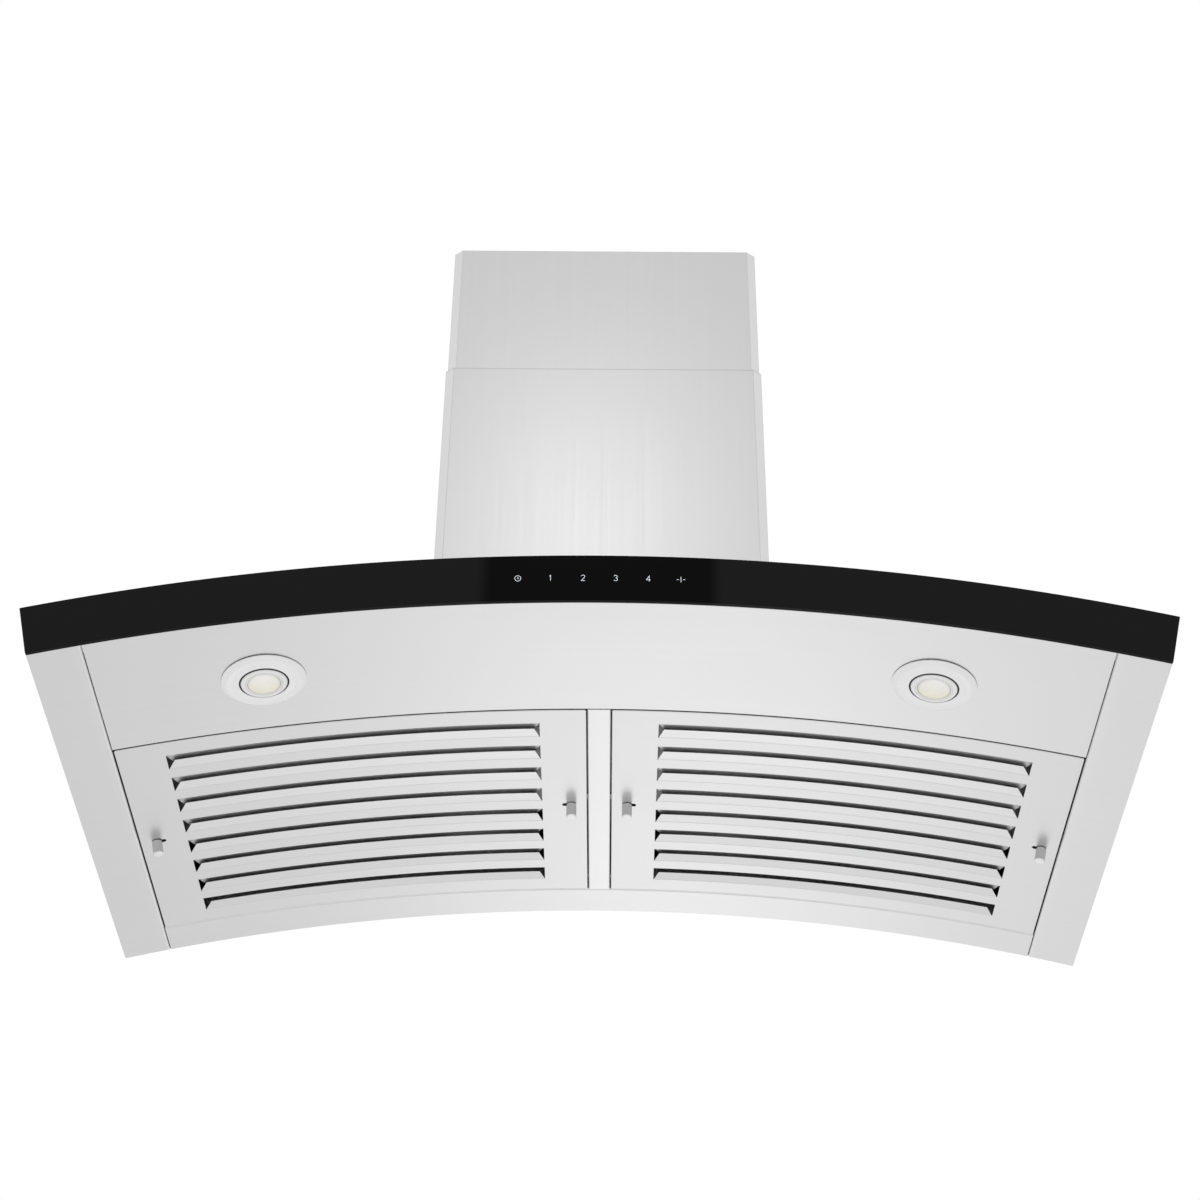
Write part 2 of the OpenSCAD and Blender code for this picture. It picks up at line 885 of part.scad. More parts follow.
// A coil spring as a wire swept along a helix about +X
function helix_point(a, r, pitch) = [pitch * a / 360, r * cos(a), r * sin(a)];
function ring_point(a, r, pitch, wire_r, b) =
    helix_point(a, r + wire_r * cos(b), pitch) + [wire_r * sin(b), 0, 0];

module coil_spring(length, d, wire_d, turns) {
    steps = 10;
    sides = 5;
    rings = turns * steps;
    pitch = (length - wire_d) / turns;
    points = [
        for (i = [0 : rings], j = [0 : sides - 1])
            ring_point(360 * i / steps, (d - wire_d) / 2, pitch, wire_d / 2, 360 * j / sides)
                + [wire_d / 2, 0, 0]
    ];
    walls = [
        for (i = [0 : rings - 1], j = [0 : sides - 1])
            let (a = i * sides + j, b = i * sides + (j + 1) % sides)
                each [[a, b, b + sides], [a, b + sides, a + sides]]
    ];
    ends = [
        [for (j = [sides - 1 : -1 : 0]) j],
        [for (j = [0 : sides - 1]) rings * sides + j]
    ];
    polyhedron(points = points, faces = concat(walls, ends));
}

module latch_springs()
    color("silver")
        for (end = [-1, 1])
            latch_place(end)
                translate([-guide_back + spring_end + bolt_gap, 0,
                           bolt_z + bolt_t - spring_d / 2])
                    coil_spring(guide_back - spring_end - bolt_tail - 2 * bolt_gap, spring_d,
                                spring_wire_d, spring_turns);

module latch_bolt(end)
    color("silver")
        latch_place(end)
            union() {
                translate([-bolt_tail, -bolt_w / 2, bolt_z])
                    cube([bolt_tail + knob_inset + bolt_reach, bolt_w, bolt_t]);
                translate([0, 0, -knob_lift - knob_bore_l])
                    cylinder(d = stem_d, h = bolt_z + knob_lift + knob_bore_l + eps, $fn = 32);
            }

module latch_knob(end)
    color("silver")
        latch_place(end)
            difference() {
                union() {
                    translate([0, 0, -knob_lift - knob_l + knob_bevel])
                        cylinder(d = knob_d, h = knob_l - knob_bevel, $fn = 64);
                    translate([0, 0, -knob_lift - knob_l])
                        cylinder(d1 = knob_d - 2 * knob_bevel, d2 = knob_d, h = knob_bevel, $fn = 64);
                }
                translate([0, 0, -knob_lift - knob_bore_l])
                    cylinder(d = stem_d, h = knob_bore_l + past, $fn = 32);
            }

module to_left()
    mirror([1, 0, 0])
        children();

module filter_pan_right()
    filter_pan();

module filter_pan_left()
    to_left()
        filter_pan();

module filter_baffle_right()
    filter_baffle();

module filter_baffle_left()
    to_left()
        filter_baffle();

module filter_posts_right()
    filter_posts();

module filter_posts_left()
    to_left()
        filter_posts();

module latch_guides_right()
    latch_guides();

module latch_guides_left()
    to_left()
        latch_guides();

module latch_springs_right()
    latch_springs();

module latch_springs_left()
    to_left()
        latch_springs();

module latch_bolt_right_outer()
    latch_bolt(1);

module latch_bolt_right_inner()
    latch_bolt(-1);

module latch_bolt_left_outer()
    to_left()
        latch_bolt(1);

module latch_bolt_left_inner()
    to_left()
        latch_bolt(-1);

module latch_knob_right_outer()
    latch_knob(1);

module latch_knob_right_inner()
    latch_knob(-1);

module latch_knob_left_outer()
    to_left()
        latch_knob(1);

module latch_knob_left_inner()
    to_left()
        latch_knob(-1);

// Electrics
module control_box()
    color("lightgray")
        difference() {
            translate([-box_w / 2, box_y, box_z])
                cube([box_w, box_d, box_h]);
            translate([-box_w / 2 + box_wall, box_y + box_wall, box_z + box_wall])
                cube([box_w - 2 * box_wall, box_d - 2 * box_wall, box_h - 2 * box_wall]);
            translate([-box_w / 2 - past, box_y + box_d / 2, box_z + box_h / 2])
                rotate([0, 90, 0])
                    cylinder(d = box_cable_d, h = box_w + 2 * past, $fn = 32);
        }

module power_board() {
    w = box_w - 2 * box_inset;
    d = box_d - 2 * box_inset;
    color("darkgreen")
        translate([-w / 2, box_y + box_inset, box_z + box_wall])
            union() {
                for (x = [foot_post, w - 2 * foot_post], y = [foot_post, d - 2 * foot_post])
                    translate([x, y, 0])
                        cube(foot_post);
                translate([0, 0, foot_post - eps])
                    cube([w, d, board_t]);
                translate([0, 0, foot_post + past]) {
                    translate(transformer_at)
                        cube(transformer);
                    translate(capacitor_at)
                        cylinder(d = capacitor_d, h = capacitor_h, $fn = 48);
                    translate(terminals_at)
                        cube(terminals);
                }
            }
}

module gland_place()
    translate([gland_x, gland_y, arch_height(gland_x, band_h)])
        rotate([0, arch_angle(gland_x), 0])
            children();

module cable_gland()
    color(black)
        gland_place()
            difference() {
                union() {
                    translate([0, 0, -sheet_t - gland_thread_l])
                        cylinder(d = gland_thread_d, h = sheet_t + gland_thread_l + past, $fn = 48);
                    cylinder(d = gland_head_d, h = gland_nut_h, $fn = 6);
                    translate([0, 0, gland_nut_h - eps])
                        cylinder(d1 = gland_head_d - 1, d2 = gland_head_d - 1 - gland_cap_taper,
                                 h = gland_cap_h, $fn = 48);
                    translate([0, 0, -sheet_t - gland_nut_h])
                        cylinder(d = gland_head_d, h = gland_nut_h, $fn = 6);
                }
                translate([0, 0, -2 * gland_cap_h])
                    cylinder(d = gland_bore_d, h = 4 * gland_cap_h, $fn = 48);
            }

// Blower
module blower_foot_places()
    for (x = [-screw_hx, screw_hx], side = [-1, 1])
        translate([x, blower_y + side * (foot_y + foot_d / 2 + foot_t), arch_height(x, band_h)])
            rotate([0, arch_angle(x), 0])
                children();

module scroll_outline(offset_in, top)
    union() {
        circle(r = scroll_r - offset_in, $fn = 128);
        translate([-top, -scroll_r + offset_in])
            square([top, outlet_y1 - blower_y + scroll_r - 2 * offset_in]);
    }

module blower_housing()
    color(zinc)
        difference() {
            union() {
                along_x(blower_y, scroll_z)
                    translate([0, 0, -scroll_w / 2])
                        linear_extrude(height = scroll_w)
                            scroll_outline(0, outlet_z - scroll_z);
                difference() {
                    for (side = [-1, 1])
                        translate([-foot_hx, blower_y + side * foot_y - foot_t / 2, crown_z - band_h])
                            cube([2 * foot_hx, foot_t, scroll_r + band_h]);
                    under_canopy(band_h);
                }
                for (side = [-1, 1])
                    arch_plate(-foot_hx, foot_hx,
                               blower_y + side * foot_y - (side > 0 ? foot_t / 2 : foot_d - foot_t / 2),
                               blower_y + side * foot_y + (side > 0 ? foot_d - foot_t / 2 : foot_t / 2),
                               band_h, band_h + foot_t);
            }
            along_x(blower_y, scroll_z)
                translate([0, 0, -scroll_w / 2 + sheet_t])
                    linear_extrude(height = scroll_w - 2 * sheet_t)
                        scroll_outline(sheet_t, outlet_z - scroll_z + past);
            along_x(wheel_y, wheel_z)
                translate([0, 0, -scroll_w])
                    cylinder(r = inlet_r + ring_t + ring_gap, h = 2 * scroll_w, $fn = 96);
            blower_foot_places()
                screw_hole();
            motor_screw_places()
                screw_hole();
        }

module inlet_rings()
    color(zinc)
        for (side = [0, 1])
            along_x(wheel_y, wheel_z)
                mirror([0, 0, side])
                    translate([0, 0, scroll_w / 2])
                        rotate_extrude($fn = 96)
                            polygon([
                                [inlet_r, -ring_depth], [inlet_r + ring_t, -ring_depth],
                                [inlet_r + ring_t, 0], [ring_r, 0], [ring_r, ring_t],
                                [inlet_r, ring_t]
                            ]);

// Screw places on the right side of the scroll, their Z pointing out along +X
module motor_screw_places()
    along_x(wheel_y, wheel_z)
        for (i = [0 : arm_n - 1])
            rotate([0, 0, 360 * i / arm_n + 90])
                translate([motor_screw_r, 0, scroll_w / 2])
                    children();

module motor_bracket()
    color(dark_steel)
        difference() {
            along_x(wheel_y, wheel_z)
                translate([0, 0, scroll_w / 2])
                    union() {
                        for (i = [0 : arm_n - 1])
                            rotate([0, 0, 360 * i / arm_n + 90]) {
                                translate([0, -arm_w / 2, arm_gap])
                                    cube([motor_screw_r + arm_pad / 2, arm_w, arm_t]);
                                translate([motor_screw_r - arm_pad / 2, -arm_w / 2, 0])
                                    cube([arm_pad, arm_w, arm_gap + eps]);
                            }
                        translate([0, 0, arm_gap])
                            cylinder(r = spider_r, h = arm_t, $fn = 64);
                    }
            motor_screw_places()
                screw_hole(2 * arm_gap + arm_t);
        }

module blower_motor()
    color(dark_steel)
        along_x(wheel_y, wheel_z)
            difference() {
                union() {
                    translate([0, 0, motor_x0])
                        cylinder(r = motor_r, h = scroll_w / 2 + arm_gap - motor_x0, $fn = 96);
                    translate([0, 0, motor_x0 - motor_boss_l])
                        cylinder(r = motor_boss_r, h = motor_boss_l + past, $fn = 64);
                    translate([0, 0, motor_band_x])
                        cylinder(r = motor_r + motor_band, h = motor_band, $fn = 96);
                }
                translate([0, 0, motor_x0 - motor_boss_l - past])
                    cylinder(d = shaft_d + 2 * run_gap, h = motor_boss_l + past + motor_bore_l,
                             $fn = 48);
            }

module motor_shaft()
    color("silver")
        along_x(wheel_y, wheel_z)
            translate([0, 0, -hub_l / 2 - shaft_out])
                cylinder(d = shaft_d, h = hub_l / 2 + shaft_out + motor_x0 + shaft_in, $fn = 48);

module blower_wheel()
    color("silver")
        along_x(wheel_y, wheel_z)
            difference() {
                union() {
                    translate([0, 0, -blade_t])
                        cylinder(r = wheel_d / 2 - rim_t / 2, h = 2 * blade_t, $fn = 96);
                    translate([0, 0, -hub_l / 2])
                        cylinder(r = hub_r, h = hub_l, $fn = 48);
                    for (end = [-1, 1])
                        translate([0, 0, end * (wheel_w - rim_t) / 2 - rim_t / 2])
                            difference() {
                                cylinder(d = wheel_d, h = rim_t, $fn = 96);
                                translate([0, 0, -past])
                                    cylinder(r = wheel_d / 2 - blade_depth, h = rim_t + 2 * past,
                                             $fn = 96);
                            }
                    for (i = [0 : blade_n - 1])
                        rotate([0, 0, 360 * i / blade_n])
                            translate([wheel_d / 2 - blade_depth + blade_t, 0, -wheel_w / 2 + blade_t])
                                rotate([0, 0, blade_angle])
                                    cube([blade_depth - rim_t, blade_t, wheel_w - 2 * blade_t]);
                }
                translate([0, 0, -hub_l])
                    cylinder(d = shaft_d, h = 2 * hub_l, $fn = 48);
            }

module blower_screws()
    color(zinc)
        union() {
            blower_foot_places()
                translate([0, 0, foot_t])
                    screw(foot_t + sheet_t + screw_tip);
            motor_screw_places()
                translate([0, 0, arm_gap + arm_t])
                    screw(arm_gap + arm_t + sheet_t + screw_tip);
        }

// Duct collar with two damper flaps, hinged side by side across its middle
module duct_collar()
    color(zinc)
        difference() {
            union() {
                translate([-scroll_w / 2, blower_y - scroll_r, outlet_z])
                    cube([scroll_w, outlet_y1 - blower_y + scroll_r, flange_t]);
                translate([0, blower_y, outlet_z])
                    cylinder(d = collar_d, h = collar_h, $fn = 128);
            }
            translate([0, blower_y, collar_seat_z])
                cylinder(r = collar_d / 2 - collar_t, h = collar_h, $fn = 128);
            translate([0, blower_y, outlet_z - past])
                cylinder(r = collar_d / 2 - collar_t,
                         h = collar_seat_z - collar_seat_t - outlet_z + past, $fn = 128);
            translate([0, blower_y, outlet_z - past])
                cylinder(r = collar_d / 2 - collar_t - collar_seat_w, h = collar_h, $fn = 128);
            for (side = [-1, 1])
                translate([-collar_d, blower_y + side * damper_axis_gap / 2, damper_z])
                    rotate([0, 90, 0])
                        cylinder(d = damper_pin_d + 2 * run_gap, h = 2 * collar_d, $fn = 32);
        }

module damper(side) {
    r = collar_d / 2 - collar_t - damper_gap;
    color("silver")
        translate([0, blower_y, damper_z])
            union() {
                intersection() {
                    translate([0, 0, -damper_t / 2])
                        cylinder(r = r, h = damper_t, $fn = 128);
                    translate([-r - past, side > 0 ? damper_axis_gap / 2 : -r - past, -damper_t])
                        cube([2 * (r + past), r + past - damper_axis_gap / 2, 2 * damper_t]);
                }
                translate([damper_pin_inset - collar_d / 2, side * damper_axis_gap / 2, 0])
                    rotate([0, 90, 0])
                        cylinder(d = damper_pin_d, h = collar_d - 2 * damper_pin_inset, $fn = 32);
            }
}

module damper_front()
    damper(-1);

module damper_rear()
    damper(1);

// Chimney covers: bent sheets open towards the wall, with bevelled front corners
module cover_outline(w, y0, y1)
    polygon([
        [-w / 2, y1], [w / 2, y1], [w / 2, y0 + bevel_d], [w / 2 - bevel_w, y0],
        [-w / 2 + bevel_w, y0], [-w / 2, y0 + bevel_d]
    ]);

module cover_wall(w, y0, y1)
    difference() {
        cover_outline(w, y0, y1);
        cover_outline(w - 2 * sheet_t, y0 + sheet_t, y1 - sheet_t);
        translate([-w / 2 + return_w, y1 - 2 * sheet_t])
            square([w - 2 * return_w, 4 * sheet_t]);
    }

module chimney_tab_places() {
    x = chimney_w / 2 - sheet_t - tab_w / 2;
    for (side = [-1, 1])
        translate([side * x, (tab_y0 + tab_y1) / 2, arch_height(x, band_h)])
            rotate([0, side * arch_angle(x), 0])
                children();
}

module chimney_lower()
    color(steel)
        difference() {
            union() {
                difference() {
                    translate([0, 0, crown_z - band_h / 2])
                        linear_extrude(height = chimney_lower_h + band_h / 2)
                            cover_wall(chimney_w, -chimney_d, 0);
                    under_canopy(band_h);
                }
                for (side = [-1, 1])
                    arch_plate(side > 0 ? chimney_w / 2 - tab_w : -chimney_w / 2 + eps,
                               side > 0 ? chimney_w / 2 - eps : -chimney_w / 2 + tab_w,
                               tab_y0, tab_y1, band_h, band_h + sheet_t);
            }
            chimney_tab_places()
                screw_hole();
        }

module chimney_tab_screws()
    color(zinc)
        chimney_tab_places()
            translate([0, 0, sheet_t])
                screw(2 * sheet_t + screw_tip);

module bracket_screw_places()
    for (side = [-1, 1])
        translate([side * upper_w / 2, bracket_screw_y, bracket_screw_z])
            rotate([0, side * 90, 0])
                children();

module chimney_upper()
    color(steel)
        difference() {
            translate([0, 0, upper_top - chimney_upper_h])
                linear_extrude(height = chimney_upper_h)
                    cover_wall(upper_w, upper_y0, upper_y1);
            bracket_screw_places()
                screw_hole();
        }

// Wall bracket that the upper chimney is screwed to: a back bar, two arms and two ears
module chimney_bracket() {
    arm_x = upper_w / 2 - sheet_t - return_w - bracket_gap;
    ear_x = upper_w / 2 - sheet_t;
    color(zinc)
        difference() {
            translate([0, 0, bracket_z0])
                union() {
                    translate([-arm_x, -bracket_t, 0])
                        cube([2 * arm_x, bracket_t, bracket_h]);
                    for (side = [0, 1])
                        mirror([side, 0, 0]) {
                            translate([arm_x - bracket_t, -bracket_reach, 0])
                                cube([bracket_t, bracket_reach, bracket_h]);
                            translate([arm_x - bracket_t, -bracket_reach - bracket_t, 0])
                                cube([ear_x - arm_x + bracket_t, bracket_t + eps, bracket_h]);
                            translate([ear_x - bracket_t, -bracket_reach - bracket_ear, 0])
                                cube([bracket_t, bracket_ear, bracket_h]);
                        }
                }
            for (side = [-1, 1])
                translate([side * bracket_hole_dx / 2, -bracket_t - past, bracket_screw_z])
                    rotate([-90, 0, 0])
                        cylinder(d = bracket_hole_d, h = bracket_t + 2 * past, $fn = 48);
            bracket_screw_places()
                screw_hole();
        }
}

module chimney_bracket_screws()
    color(steel)
        bracket_screw_places()
            screw(sheet_t + bracket_t + screw_tip);

glass_front();
light_guides();
touch_board();
front_carrier();
canopy_top();
canopy_back();
wall_plate();
canopy_screws();
side_panel_left();
side_panel_right();
lamp_panel();
rear_rail();
centre_strip();
lamp_trim_left();
lamp_trim_right();
lamp_clips();
lamp_ball_left();
lamp_ball_right();
lamp_lens_left();
lamp_lens_right();
lamp_module_left();
lamp_module_right();
filter_pan_left();
filter_pan_right();
filter_baffle_left();
filter_baffle_right();
filter_posts_left();
filter_posts_right();
latch_guides_left();
latch_guides_right();
latch_springs_left();
latch_springs_right();
latch_bolt_left_outer();
latch_bolt_left_inner();
latch_bolt_right_inner();
latch_bolt_right_outer();
latch_knob_left_outer();
latch_knob_left_inner();
latch_knob_right_inner();
latch_knob_right_outer();
control_box();
power_board();
cable_gland();
blower_housing();
inlet_rings();
motor_bracket();
blower_motor();
motor_shaft();
blower_wheel();
blower_screws();
duct_collar();
damper_front();
damper_rear();
chimney_lower();
chimney_tab_screws();
chimney_upper();
chimney_bracket();
chimney_bracket_screws();
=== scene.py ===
"""Looks of a wall mounted range hood with an arched canopy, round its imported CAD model.

Every length is in millimetres until a mesh is made, where MM turns it into metres.
"""

import logging
from dataclasses import dataclass, field
from enum import Enum
from math import acos, asin, atan2, cos, degrees, pi, radians, sin, sqrt, tan
from typing import Any, Callable, Iterable, Sequence

import bmesh
import bpy
from mathutils import Matrix, Vector


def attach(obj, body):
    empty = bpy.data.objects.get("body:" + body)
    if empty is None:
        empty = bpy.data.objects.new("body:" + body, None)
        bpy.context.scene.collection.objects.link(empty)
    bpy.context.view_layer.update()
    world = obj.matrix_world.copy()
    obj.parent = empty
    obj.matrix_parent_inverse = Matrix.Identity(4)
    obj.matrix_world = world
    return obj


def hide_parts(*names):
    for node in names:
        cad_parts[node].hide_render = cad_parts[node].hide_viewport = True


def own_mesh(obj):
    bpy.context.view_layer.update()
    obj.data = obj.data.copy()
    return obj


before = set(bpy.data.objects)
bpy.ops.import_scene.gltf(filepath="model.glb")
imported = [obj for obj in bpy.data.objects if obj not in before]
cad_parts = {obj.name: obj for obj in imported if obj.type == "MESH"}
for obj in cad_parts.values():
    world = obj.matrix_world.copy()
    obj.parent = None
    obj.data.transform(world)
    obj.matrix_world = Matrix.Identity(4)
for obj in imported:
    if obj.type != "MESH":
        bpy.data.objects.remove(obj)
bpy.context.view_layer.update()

log = logging.getLogger("hood")
MM = 0.001
Flat = tuple[float, float]
Solid = tuple[float, float, float]


class Axis(Enum):
    """The direction that a placed part points in."""

    UP = (0.0, 0.0, 1.0)
    LEFT = (-1.0, 0.0, 0.0)
    RIGHT = (1.0, 0.0, 0.0)


class Grain(Enum):
    """Brushing direction of a sheet, as noise scales along X, Y and Z."""

    ACROSS = (2.5, 520.0, 2.5)
    UPRIGHT = (520.0, 520.0, 2.5)
    LEVEL = (2.5, 2.5, 520.0)
    CAST = (60.0, 60.0, 60.0)


# Node trees


class Socket:
    """A node's output; arithmetic on it adds Math nodes to its graph."""

    def __init__(self, graph: "Graph", output: bpy.types.NodeSocket) -> None:
        """Keeps the graph and the output."""
        self.graph = graph
        self.output = output

    def _join(self, operation: str, first: Any, second: Any) -> "Socket":
        """Adds one Math node."""
        return self.graph.add("ShaderNodeMath", {"operation": operation}, {0: first, 1: second})

    def __add__(self, other: Any) -> "Socket":
        """Sum."""
        return self._join("ADD", self, other)

    __radd__ = __add__

    def __sub__(self, other: Any) -> "Socket":
        """Difference."""
        return self._join("SUBTRACT", self, other)

    def __rsub__(self, other: Any) -> "Socket":
        """Reflected difference."""
        return self._join("SUBTRACT", other, self)

    def __mul__(self, other: Any) -> "Socket":
        """Product."""
        return self._join("MULTIPLY", self, other)

    __rmul__ = __mul__

    def __truediv__(self, other: Any) -> "Socket":
        """Quotient."""
        return self._join("DIVIDE", self, other)

    def __pow__(self, other: Any) -> "Socket":
        """Power."""
        return self._join("POWER", self, other)

    def root(self) -> "Socket":
        """Square root."""
        return self.graph.add("ShaderNodeMath", {"operation": "SQRT"}, {0: self})

    def size(self) -> "Socket":
        """Absolute value."""
        return self.graph.add("ShaderNodeMath", {"operation": "ABSOLUTE"}, {0: self})

    def at_least(self, other: Any) -> "Socket":
        """The larger of two values."""
        return self._join("MAXIMUM", self, other)

    def step(self, start: float, end: float) -> "Socket":
        """Rises smoothly from 0 at start to 1 at end.

        Args:
            start: Value where the step begins.
            end: Value where the step ends.

        Returns:
            The step as a socket.
        """
        return self.graph.add(
            "ShaderNodeMapRange",
            {"interpolation_type": "SMOOTHSTEP"},
            {"Value": self, "From Min": start, "From Max": end},
        )


class Graph:
    """A node tree that is filled by short calls."""

    def __init__(self, tree: bpy.types.NodeTree) -> None:
        """Keeps the tree."""
        self.tree = tree

    def add(
        self,
        kind: str,
        settings: dict[str, Any] | None = None,
        inputs: dict[int | str, Any] | None = None,
        output: int | str = 0,
    ) -> Socket:
        """Adds a node, sets it up and feeds it.

        Args:
            kind: The node's type.
            settings: Its properties, set before its sockets.
            inputs: Values or sockets by the input's name or number.
            output: Name or number of the output that is returned.

        Returns:
            The chosen output.
        """
        node = self.tree.nodes.new(kind)
        for name, value in (settings or {}).items():
            setattr(node, name, value)
        for name, value in (inputs or {}).items():
            target = node.inputs[name]
            for one in value if isinstance(value, list) else [value]:
                if isinstance(one, Socket):
                    self.tree.links.new(one.output, target)
                else:
                    target.default_value = one
        return Socket(self, node.outputs[output] if node.outputs else None)


class ShaderGraph(Graph):
    """The node tree of one material."""

    def place(self, scales: Solid = (1.0, 1.0, 1.0)) -> Socket:
        """Object coordinates in metres, stretched by three scales."""
        here = self.add("ShaderNodeTexCoord", output="Object")
        return self.add("ShaderNodeMapping", inputs={"Vector": here, "Scale": scales})

    def noise(self, where: Socket, scale: float = 1.0, detail: float = 3.0) -> Socket:
        """Plain noise from 0 to 1."""
        values = {"Vector": where, "Scale": scale, "Detail": detail, "Roughness": 0.55}
        return self.add("ShaderNodeTexNoise", inputs=values)

    def axis(self, where: Socket, name: str) -> Socket:
        """One coordinate of a vector."""
        return self.add("ShaderNodeSeparateXYZ", inputs={0: where}, output=name)

    def mix(self, amount: Any, first: Any, second: Any) -> Socket:
        """Blends two colours by an amount from 0 to 1."""
        return self.add(
            "ShaderNodeMix", {"data_type": "RGBA"}, {0: amount, 6: first, 7: second}, 2
        )

    def bump(self, height: Socket, distance: float, strength: float = 1.0) -> Socket:
        """Normal of a surface that is raised by a height."""
        values = {"Height": height, "Distance": distance, "Strength": strength}
        return self.add("ShaderNodeBump", inputs=values)


def tint(value: float, warm: float = 0.0) -> tuple[float, float, float, float]:
    """A grey that leans to yellow by a share, as a colour.

    Args:
        value: Linear grey level.
        warm: Share by which red rises and blue falls.

    Returns:
        Red, green, blue and alpha.
    """
    return (value * (1 + warm), value * (1 + warm * 0.3), value * (1 - warm), 1.0)


# Finishes


@dataclass(frozen=True)
class Finish:
    """A surface finish: its material is made once, and filled by its wear method."""

    name: str
    slot: str
    tone: float = 0.6
    metallic: float = 1.0
    roughness: float = 0.3
    specular: float = 0.5
    coat: float = 0.0
    coat_roughness: float = 0.1
    warm: float = 0.0

    def material(self) -> bpy.types.Material:
        """Makes the material, or returns the one already made.

        Returns:
            The material.
        """
        made = bpy.data.materials.get(self.name)
        if made:
            return made
        made = bpy.data.materials.new(self.name)
        made.use_nodes = True
        made.node_tree.nodes.clear()
        graph = ShaderGraph(made.node_tree)
        values: dict[int | str, Any] = {
            "Base Color": tint(self.tone, self.warm),
            "Metallic": self.metallic,
            "Roughness": self.roughness,
            "Specular IOR Level": self.specular,
            "Coat Weight": self.coat,
            "Coat Roughness": self.coat_roughness,
        }
        values.update(self.wear(graph))
        surface = graph.add("ShaderNodeBsdfPrincipled", inputs=values)
        graph.add("ShaderNodeOutputMaterial", inputs={"Surface": surface})
        made.diffuse_color = tint(self.tone, self.warm)
        return made

    def wear(self, graph: ShaderGraph) -> dict[int | str, Any]:
        """The inputs that change over the surface: here a faint mottling.

        Args:
            graph: The material's node tree.

        Returns:
            Inputs of the surface shader by name.
        """
        spots = graph.noise(graph.place(), 45.0, 4.0)
        return {
            "Base Color": graph.mix(
                spots, tint(self.tone * 0.93, self.warm), tint(self.tone * 1.06, self.warm)
            ),
            "Roughness": self.roughness + (spots - 0.5) * 0.12,
        }


@dataclass(frozen=True)
class BrushedSteel(Finish):
    """Stainless sheet with fine straight brushing."""

    slot: str = "steel_shell"
    tone: float = 0.6
    roughness: float = 0.3
    grain: Grain = Grain.ACROSS
    streak: float = 0.035

    def wear(self, graph: ShaderGraph) -> dict[int | str, Any]:
        """Streaks along the grain, fine over coarse, over a slow cloud."""
        fine = graph.noise(graph.place(self.grain.value), 1.0, 3.0)
        coarse = graph.noise(graph.place(self.grain.value), 0.31, 2.0)
        cloud = graph.noise(graph.place(), 5.0, 2.0)
        streaks = fine * 0.6 + coarse * 0.4
        low, high = self.tone * (1 - self.streak), self.tone * (1 + self.streak)
        return {
            "Base Color": graph.mix(streaks, tint(low, self.warm), tint(high, self.warm)),
            "Roughness": self.roughness + (streaks - 0.5) * 0.1 + (cloud - 0.5) * 0.03,
            "Normal": graph.bump(streaks, 0.00002, 0.35),
        }


@dataclass(frozen=True)
class Zinc(Finish):
    """Galvanised sheet with soft crystal spangle."""

    slot: str = "zinc"
    tone: float = 0.45
    roughness: float = 0.42

    def wear(self, graph: ShaderGraph) -> dict[int | str, Any]:
        """Spangle cells of slightly different grey and gloss."""
        cells = graph.add(
            "ShaderNodeTexVoronoi", inputs={"Vector": graph.place(), "Scale": 110.0}, output="Color"
        )
        level = graph.axis(cells, "X")
        return {
            "Base Color": graph.mix(level, tint(self.tone * 0.88), tint(self.tone * 1.1)),
            "Roughness": self.roughness + (level - 0.5) * 0.14,
        }


@dataclass(frozen=True)
class BlackGlass(Finish):
    """Back-printed black glass, with a painted reflection: darkest round the touch keys, lighter beyond
    them.
    """

    slot: str = "glass_black"
    tone: float = 0.0085
    metallic: float = 0.0
    roughness: float = 0.06
    specular: float = 0.045
    # Half width of the dark field round the keys; the painted reflection lightens the glass beyond it.
    key_half: float = 91.0

    def wear(self, graph: ShaderGraph) -> dict[int | str, Any]:
        """A painted reflection, as a darker field round the keys and lighter glass beyond, and the
        print's faint cloud.
        """
        where = graph.place()
        # Painted reflection: near black within the field round the keys, rising to the lighter tone
        # beyond it.
        beside = graph.axis(where, "X").size().step(
            (self.key_half - 5) * MM, (self.key_half + 9) * MM
        )
        cloud = graph.noise(where, 30.0, 3.0)
        return {
            "Base Color": graph.mix(beside, tint(0.0008), tint(self.tone)),
            "Roughness": self.roughness + (cloud - 0.5) * 0.02,
        }


@dataclass(frozen=True)
class CoverSteel(BrushedSteel):
    """Brushed sheet of a chimney cover, with painted shade: a thin darker band along its upper edge,
    where the covers overlap.
    """

    tone: float = 0.55
    grain: Grain = Grain.UPRIGHT
    edge_z: float = 1000.0
    # Width in mm of the painted shade band under the upper edge.
    hem_shade_band: float = 1.5

    def wear(self, graph: ShaderGraph) -> dict[int | str, Any]:
        """The sheet's brushing, with painted shade darkening a thin band along the upper edge."""
        values = super().wear(graph)
        height = graph.axis(graph.place(), "Z") / MM
        # Painted shade: the band under the upper edge goes to 0.8 of the tone, standing in for the shade
        # of the seam between the covers.
        values["Base Color"] = graph.mix(
            height.step(self.edge_z - self.hem_shade_band, self.edge_z - self.hem_shade_band + 0.3),
            values["Base Color"], tint(self.tone * 0.8, self.warm)
        )
        return values


@dataclass(frozen=True)
class SatinPaint(Finish):
    """Pale satin coating of the lamp trims."""

    slot: str = "trim_ring"
    tone: float = 0.88
    metallic: float = 0.0
    roughness: float = 0.34

    def wear(self, graph: ShaderGraph) -> dict[int | str, Any]:
        """A very fine orange peel and a trace of uneven tone."""
        peel = graph.noise(graph.place(), 900.0, 2.0)
        cloud = graph.noise(graph.place(), 60.0, 3.0)
        return {
            "Base Color": graph.mix(cloud, tint(self.tone * 0.975), tint(self.tone * 1.02)),
            "Roughness": self.roughness + (cloud - 0.5) * 0.06,
            "Normal": graph.bump(peel, 0.00001, 0.3),
        }


